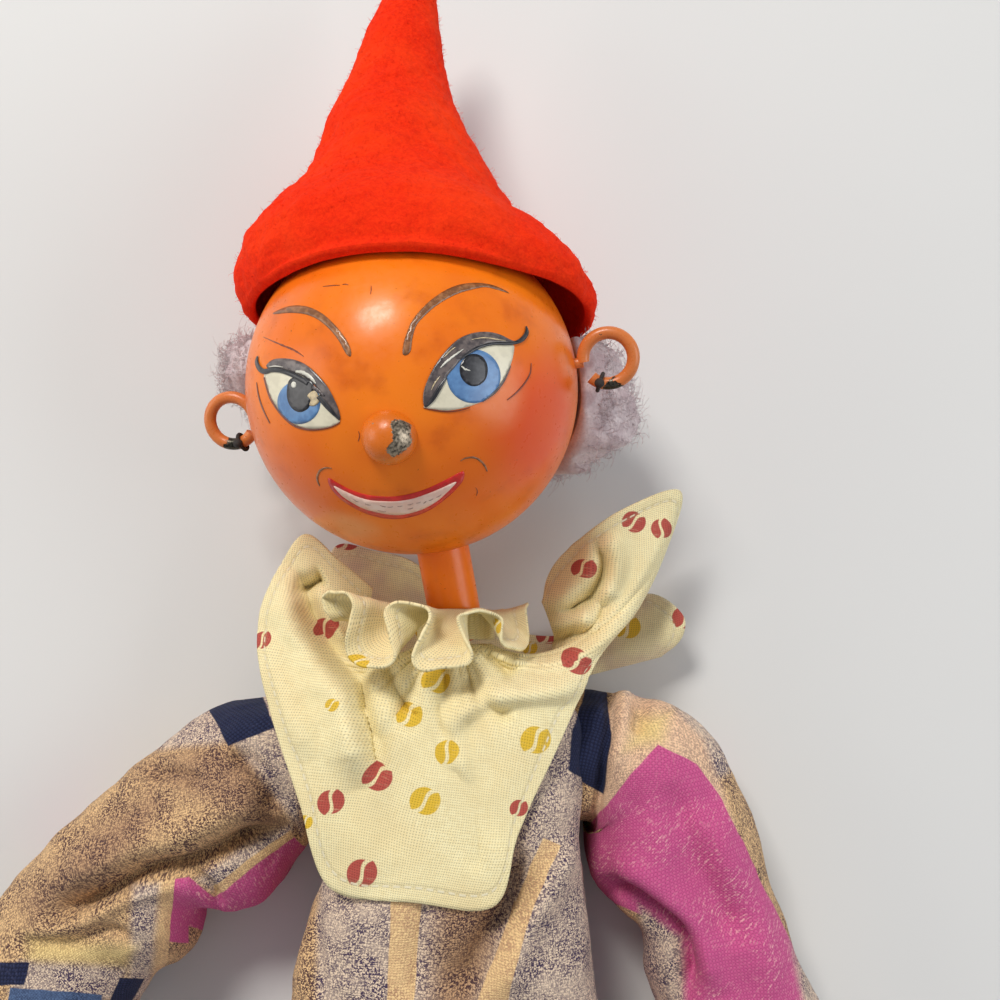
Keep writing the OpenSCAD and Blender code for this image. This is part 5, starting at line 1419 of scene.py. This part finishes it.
# folds of the bib: line, height, and the width of each side
BIB_FOLDS = [(bib((135, 150), (122, 190), (150, 300), (215, 420), (290, 520), (318, 620), (345, 710),
        (362, 800)), 2.4, 1.3, 4.2), (bib((150, 150), (150, 210), (180, 310), (245, 410), (315, 510),
        (335, 600), (362, 700), (380, 790)), -2.0, 2.2, 1.5),
        (bib((125, 195), (165, 195), (225, 165)), -2.4, 1.3, 1.3),
        (bib((435, 380), (415, 430), (440, 520), (500, 640)), -1.5, 1.4, 1.8),
        (bib((345, 440), (330, 520), (335, 600)), -1.0, 1.3, 1.3),
        (bib((500, 400), (525, 470), (560, 580), (600, 700), (640, 800)), 1.3, 2.0, 1.6),
        (bib((540, 470), (560, 560), (600, 680), (640, 860), (690, 1060)), -1.1, 1.2, 1.6),
        (bib((640, 470), (700, 540), (790, 600)), -1.0, 1.5, 1.5),
        (bib((600, 640), (660, 560), (790, 525), (920, 515), (1010, 480)), 1.5, 2.4, 1.6),
        (bib((690, 400), (740, 430), (790, 480)), -1.8, 1.4, 1.4),
        (bib((780, 430), (840, 370), (900, 325), (980, 300), (1050, 300)), 2.6, 2.8, 1.8),
        (bib((800, 445), (870, 400), (960, 350), (1045, 345)), -1.4, 1.3, 1.6),
        (bib((1010, 60), (1025, 130), (960, 220), (870, 265), (800, 350)), 2.0, 2.0, 2.4),
        (bib((1065, 45), (1095, 130), (1080, 200), (1050, 250)), 1.6, 1.8, 1.6),
        (bib((1040, 60), (1060, 140), (1030, 220), (930, 290)), -1.5, 1.2, 1.2),
        (bib((60, 330), (90, 480), (150, 620), (190, 720)), 0.8, 2.4, 2.4),]
# printed dots: place in the picture, ink, turn and size
DOTS = [(324, 629, "r", 0.9, 0.9), (577, 662, "r", 0.4, 1), (634, 522, "r", 0.5, 0.9),
        (582, 568, "r", 0.8, 0.75), (378, 775, "r", 0.4, 1), (331, 802, "r", 1.2, 0.9),
        (362, 873, "r", 0.9, 1), (519, 808, "r", 0.8, 0.6), (661, 528, "r", 1.3, 0.8),
        (410, 712, "y", 0.7, 0.95), (440, 680, "y", 0.5, 0.95), (447, 752, "y", 1.2, 0.85),
        (425, 801, "y", 0.6, 1), (536, 740, "y", 0.8, 1), (497, 624, "y", 0.3, 0.8),
        (355, 662, "y", 0.7, 0.6), (530, 648, "y", 0.9, 0.6), (331, 705, "y", 0.5, 0.45),
        (262, 640, "r", 1.1, 0.7), (305, 822, "y", 0.8, 0.5)]


def outline_at(rows, v):
    r = spline(rows, v)
    return np.stack([NECK_AT[0] + r[..., 0] * DROP, NECK_AT[1] + r[..., 1] * DROP, r[..., 2] * CHEST_H], -1)


def ring_point(centre, a, r, y):
    return np.stack([centre[0] + r * np.cos(a), y + 0 * a, centre[2] + r * np.sin(a)], -1)


def shares(m, n):
    """share of the way from the neck to the hem, and round the sheet, for each point of a sheet"""
    return np.linspace(0, 1, m)[:, None] * np.ones((1, n)), np.linspace(0, 1, n)[None, :] * np.ones((m, 1))


def hem_of(p):
    """place along the free edge, the grid's last row, and distance from it"""
    edge = p[-1]
    along = np.concatenate([[0], np.cumsum(np.linalg.norm(np.diff(edge, axis=0), axis=1))])
    back = np.linalg.norm(np.diff(p[::-1], axis=0), axis=2)
    deep = np.concatenate([np.zeros((1, p.shape[1])), np.cumsum(back, axis=0)])[::-1]
    return np.stack([along[None, :] * np.ones(p.shape[:2]), deep], 2)


def make_collar_front():
    w, v = shares(90, 380)
    a = np.radians(-20 + 220 * v)
    q = ring_point(GATHER, a, BAND_R + 0.1, FRILL_Y - BAND_H - 1.2)
    c = ring_point(NECK_AT, a, DROP * (0.486 + 0.2 * np.abs(np.cos(a))), BLOCK_TOP + 2.6)
    k = w[..., None]
    out = c + (outline_at(BIB, v) - c) * (1 - 0.16 * ridge(v, 0.02))[..., None]
    p = q * (1 - k) ** 2 + c * 2 * k * (1 - k) + out * k ** 2
    fold = 1.4 * w * np.sin(2 * np.pi * 4.5 * v + np.radians(40)) * (1 - 0.5 * w)
    # gathers at the neck that die out down the bib
    fold += 1.3 * np.exp(-w * 2.8) * np.sin(2 * np.pi * (11 * v + 0.35 * np.sin(9 * v))) * np.clip(w * 8, 0,
            1)
    fold += 0.35 * np.exp(-w * 2.0) * np.sin(2 * np.pi * (27 * v + 0.3 * np.sin(17 * v))) * np.clip(w * 8,
            0, 1)
    drawn = sum(crease(p, line, height, left, right) for line, height, left, right in BIB_FOLDS) * 1.9
    # the corner of the sheet at its right end rolls under
    drawn -= 5.0 * np.clip(1 - v / 0.13, 0, 1) ** 2 * w
    p[..., 2] += fold + drawn * np.clip(w * 4, 0, 1) + wobble(p, 0.09, 60.0) * 0.6 * np.clip(w * 3, 0, 1)
    p[..., 2] = np.maximum(p[..., 2], tunic_top(p[..., 0], p[..., 1]) + 0.75)
    return solid_sheet("collar_front_cloth", p, p[..., :2].copy(), hem_of(p), COTTON, "torso")


def make_collar_back():
    w, v = shares(50, 260)
    q = ring_point(NECK_AT, np.radians(204 + 132 * v), DROP * 0.354, BLOCK_TOP + 3.4)
    k = w[..., None]
    p = q + (outline_at(BACK, v) - q) * k * (1 - 0.10 * ridge(1 - v, 0.03))[..., None]
    p[..., 2] += 1.6 * w * np.sin(2 * np.pi * 3.5 * v) - 3.4 * np.sin(np.pi * w)
    p[..., 2] += 15 * w * np.maximum(0, v - 0.8) * np.sin(np.pi * w) + wobble(p, 0.1, 70.0) * 0.5 * w
    p[..., 2] = np.maximum(p[..., 2], 0.3)
    return solid_sheet("collar_back_cloth", p, p[..., :2].copy(), hem_of(p), COTTON, "torso", up=-1.0)


def make_frill():
    m, n, low = 30, 1000, 8
    k, v = shares(m, n)
    a = 2 * np.pi * v
    front = np.maximum(0, np.sin(a))
    amp = 0.35 + 0.65 * front
    # the loops on the puppet's right stand up and out further
    right = ridge(turned(a - math.radians(158)), 0.45)
    turn_at = FRILL_WAVES * (a - math.radians(80)) + 0.35 * np.sin(3 * a + 1.0)
    s = -bend_pow(np.cos(turn_at), 0.8)
    wide = FRILL_W * (0.3 + 0.7 * front ** 0.35) * (1 - 0.1 * s * front) * (1 + 0.85 * right)
    at = a + math.radians(FRILL_LOOP) * k ** 1.3 * amp * np.sin(2 * turn_at)
    y = FRILL_Y - (4 * front + 1.2) * k + FRILL_WAVE * amp * k ** 1.2 * s * (1 + 0.15
            * np.cos(a * 3)) + 3.0 * right * k
    p = ring_point(GATHER, at, BAND_R + 0.25 + wide * k, y)
    p[..., 0] -= 4 * k * front
    p[..., 1] += wobble(p, 0.15, 80.0) * 0.8 * k
    p[..., 2] += wobble(p, 0.12, 85.0) * 1.2 * k
    around = a[:1] * np.ones((low, 1))
    up = np.linspace(0, 1, low, endpoint=False)[:, None]
    band = ring_point(GATHER, around, BAND_R + 0.25 + 0.12 * np.sin(36 * around),
            FRILL_Y - BAND_H * (1 - up))
    p = np.concatenate([band, p], 0)
    flat = np.concatenate([np.linspace(-5.4, -0.6, low), np.linspace(0, 13, m)])[:, None] * np.ones((1, n))
    uv = np.stack([230 * np.concatenate([v[:low], v], 0), flat], 2)
    return solid_sheet("collar_frill_cloth", p, uv, hem_of(p), COTTON, "torso", up=-1.0)


def make_collar():
    made = [(make_collar_front(), "collar_front", BIB_FLAT), (make_collar_back(), "collar_back", BACK_FLAT),
            (make_frill(), "collar_frill", FRILL_FLAT)]

    trees = [tree_of(o) for o, _, _ in made]
    dots = [[], [], []]
    for x, y, tint, angle, size in DOTS:
        seen = [(*found, i) for i, (o, _, _) in enumerate(made)
                if (found := cloth_place(o, trees[i], x, y))]
        if seen:
            _, uv, i = min(seen, key=lambda found: found[0])
            dots[i].append((*uv, angle, size, RED_INK if tint == "r" else YELLOW_INK))
    for (o, node_name, flat), some in zip(made, dots):
        is_back = node_name == "collar_back"
        # painted shade: the back piece, lying under the head, is tinted a darker pinkish brown over most of
        # it
        back_shade_look = {"scatter": 13.0, "tint": (0.60, 0.42, 0.37), "tinted": 0.9} if is_back else {}
        o.data.materials.clear()
        o.data.materials.append(cotton("spotted_" + node_name, some, **back_shade_look))
        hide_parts(node_name)


make_collar()


# hands and shoes: the turned and carved shapes with their corners rounded off by the paint
def soften(node_name, body, cell=0.4, rounds=6):
    source = frame["nodes"][node_name]
    o = bpy.data.objects.new(node_name + "_round", source.data.copy())
    bpy.context.scene.collection.objects.link(o)
    grain = o.modifiers.new("cells", "REMESH")
    grain.mode = "VOXEL"
    grain.voxel_size = cell * MM
    smooth = o.modifiers.new("round", "SMOOTH")
    smooth.factor = 0.5
    smooth.iterations = rounds
    ready = bpy.data.meshes.new_from_object(o.evaluated_get(bpy.context.evaluated_depsgraph_get()))
    o.modifiers.clear()
    o.data = ready
    ready.polygons.foreach_set("use_smooth", [True] * len(ready.polygons))
    ready.materials.clear()
    ready.materials.append(limb_paint)
    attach(o, body)
    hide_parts(node_name)


for side_sign in (1, -1):
    soften(f"hand_{side_of(side_sign)}", f"lower_hand_{side_of(side_sign)}")
    soften(f"shoe_{side_of(side_sign)}", f"foot_{side_of(side_sign)}")


def stage():
    me = bpy.data.meshes.new("floor")
    s = 3.0
    me.from_pydata([(-s, -s, 0), (s, -s, 0), (s, s, 0), (-s, s, 0)], [], [(0, 1, 2, 3)])
    m, t, b = material("floor", rough=0.9)
    p = in_mm(t)
    give(t, b.inputs["Base Color"], blend_colour(t, noise_of(t, p, 0.01, 2), (0.70, 0.70, 0.69),
            (0.74, 0.74, 0.73)))
    me.materials.append(m)
    o = bpy.data.objects.new("floor", me)
    bpy.context.scene.collection.objects.link(o)

    def area(name, at, aim, size, watts, colour):
        d = bpy.data.lights.new(name, "AREA")
        d.shape = "RECTANGLE"
        d.size, d.size_y = size
        d.energy = watts
        d.color = colour
        lamp = bpy.data.objects.new(name, d)
        bpy.context.scene.collection.objects.link(lamp)
        lamp.location = at
        lamp.rotation_euler = (Vector(aim) - Vector(at)).to_track_quat("-Z", "Y").to_euler()

    area("key", (-0.30, 0.62, 0.75), (0, 0.04, 0.0), (0.30, 0.22), 6.3, (1.0, 0.97, 0.92))
    area("right", (0.70, 0.0, 0.42), (0, 0, 0), (0.5, 0.5), 2.4, (0.95, 0.97, 1.0))
    area("left", (-0.75, 0.1, 0.30), (0, 0, 0), (0.45, 0.45), 1.5, (1.0, 0.96, 0.9))
    w = bpy.data.worlds.new("studio")
    bpy.context.scene.world = w
    w.use_nodes = True
    bg = w.node_tree.nodes["Background"]
    bg.inputs[0].default_value = (0.92, 0.95, 1.0, 1)
    bg.inputs[1].default_value = 0.32


stage()
bpy.context.scene.view_settings.view_transform = "Standard"
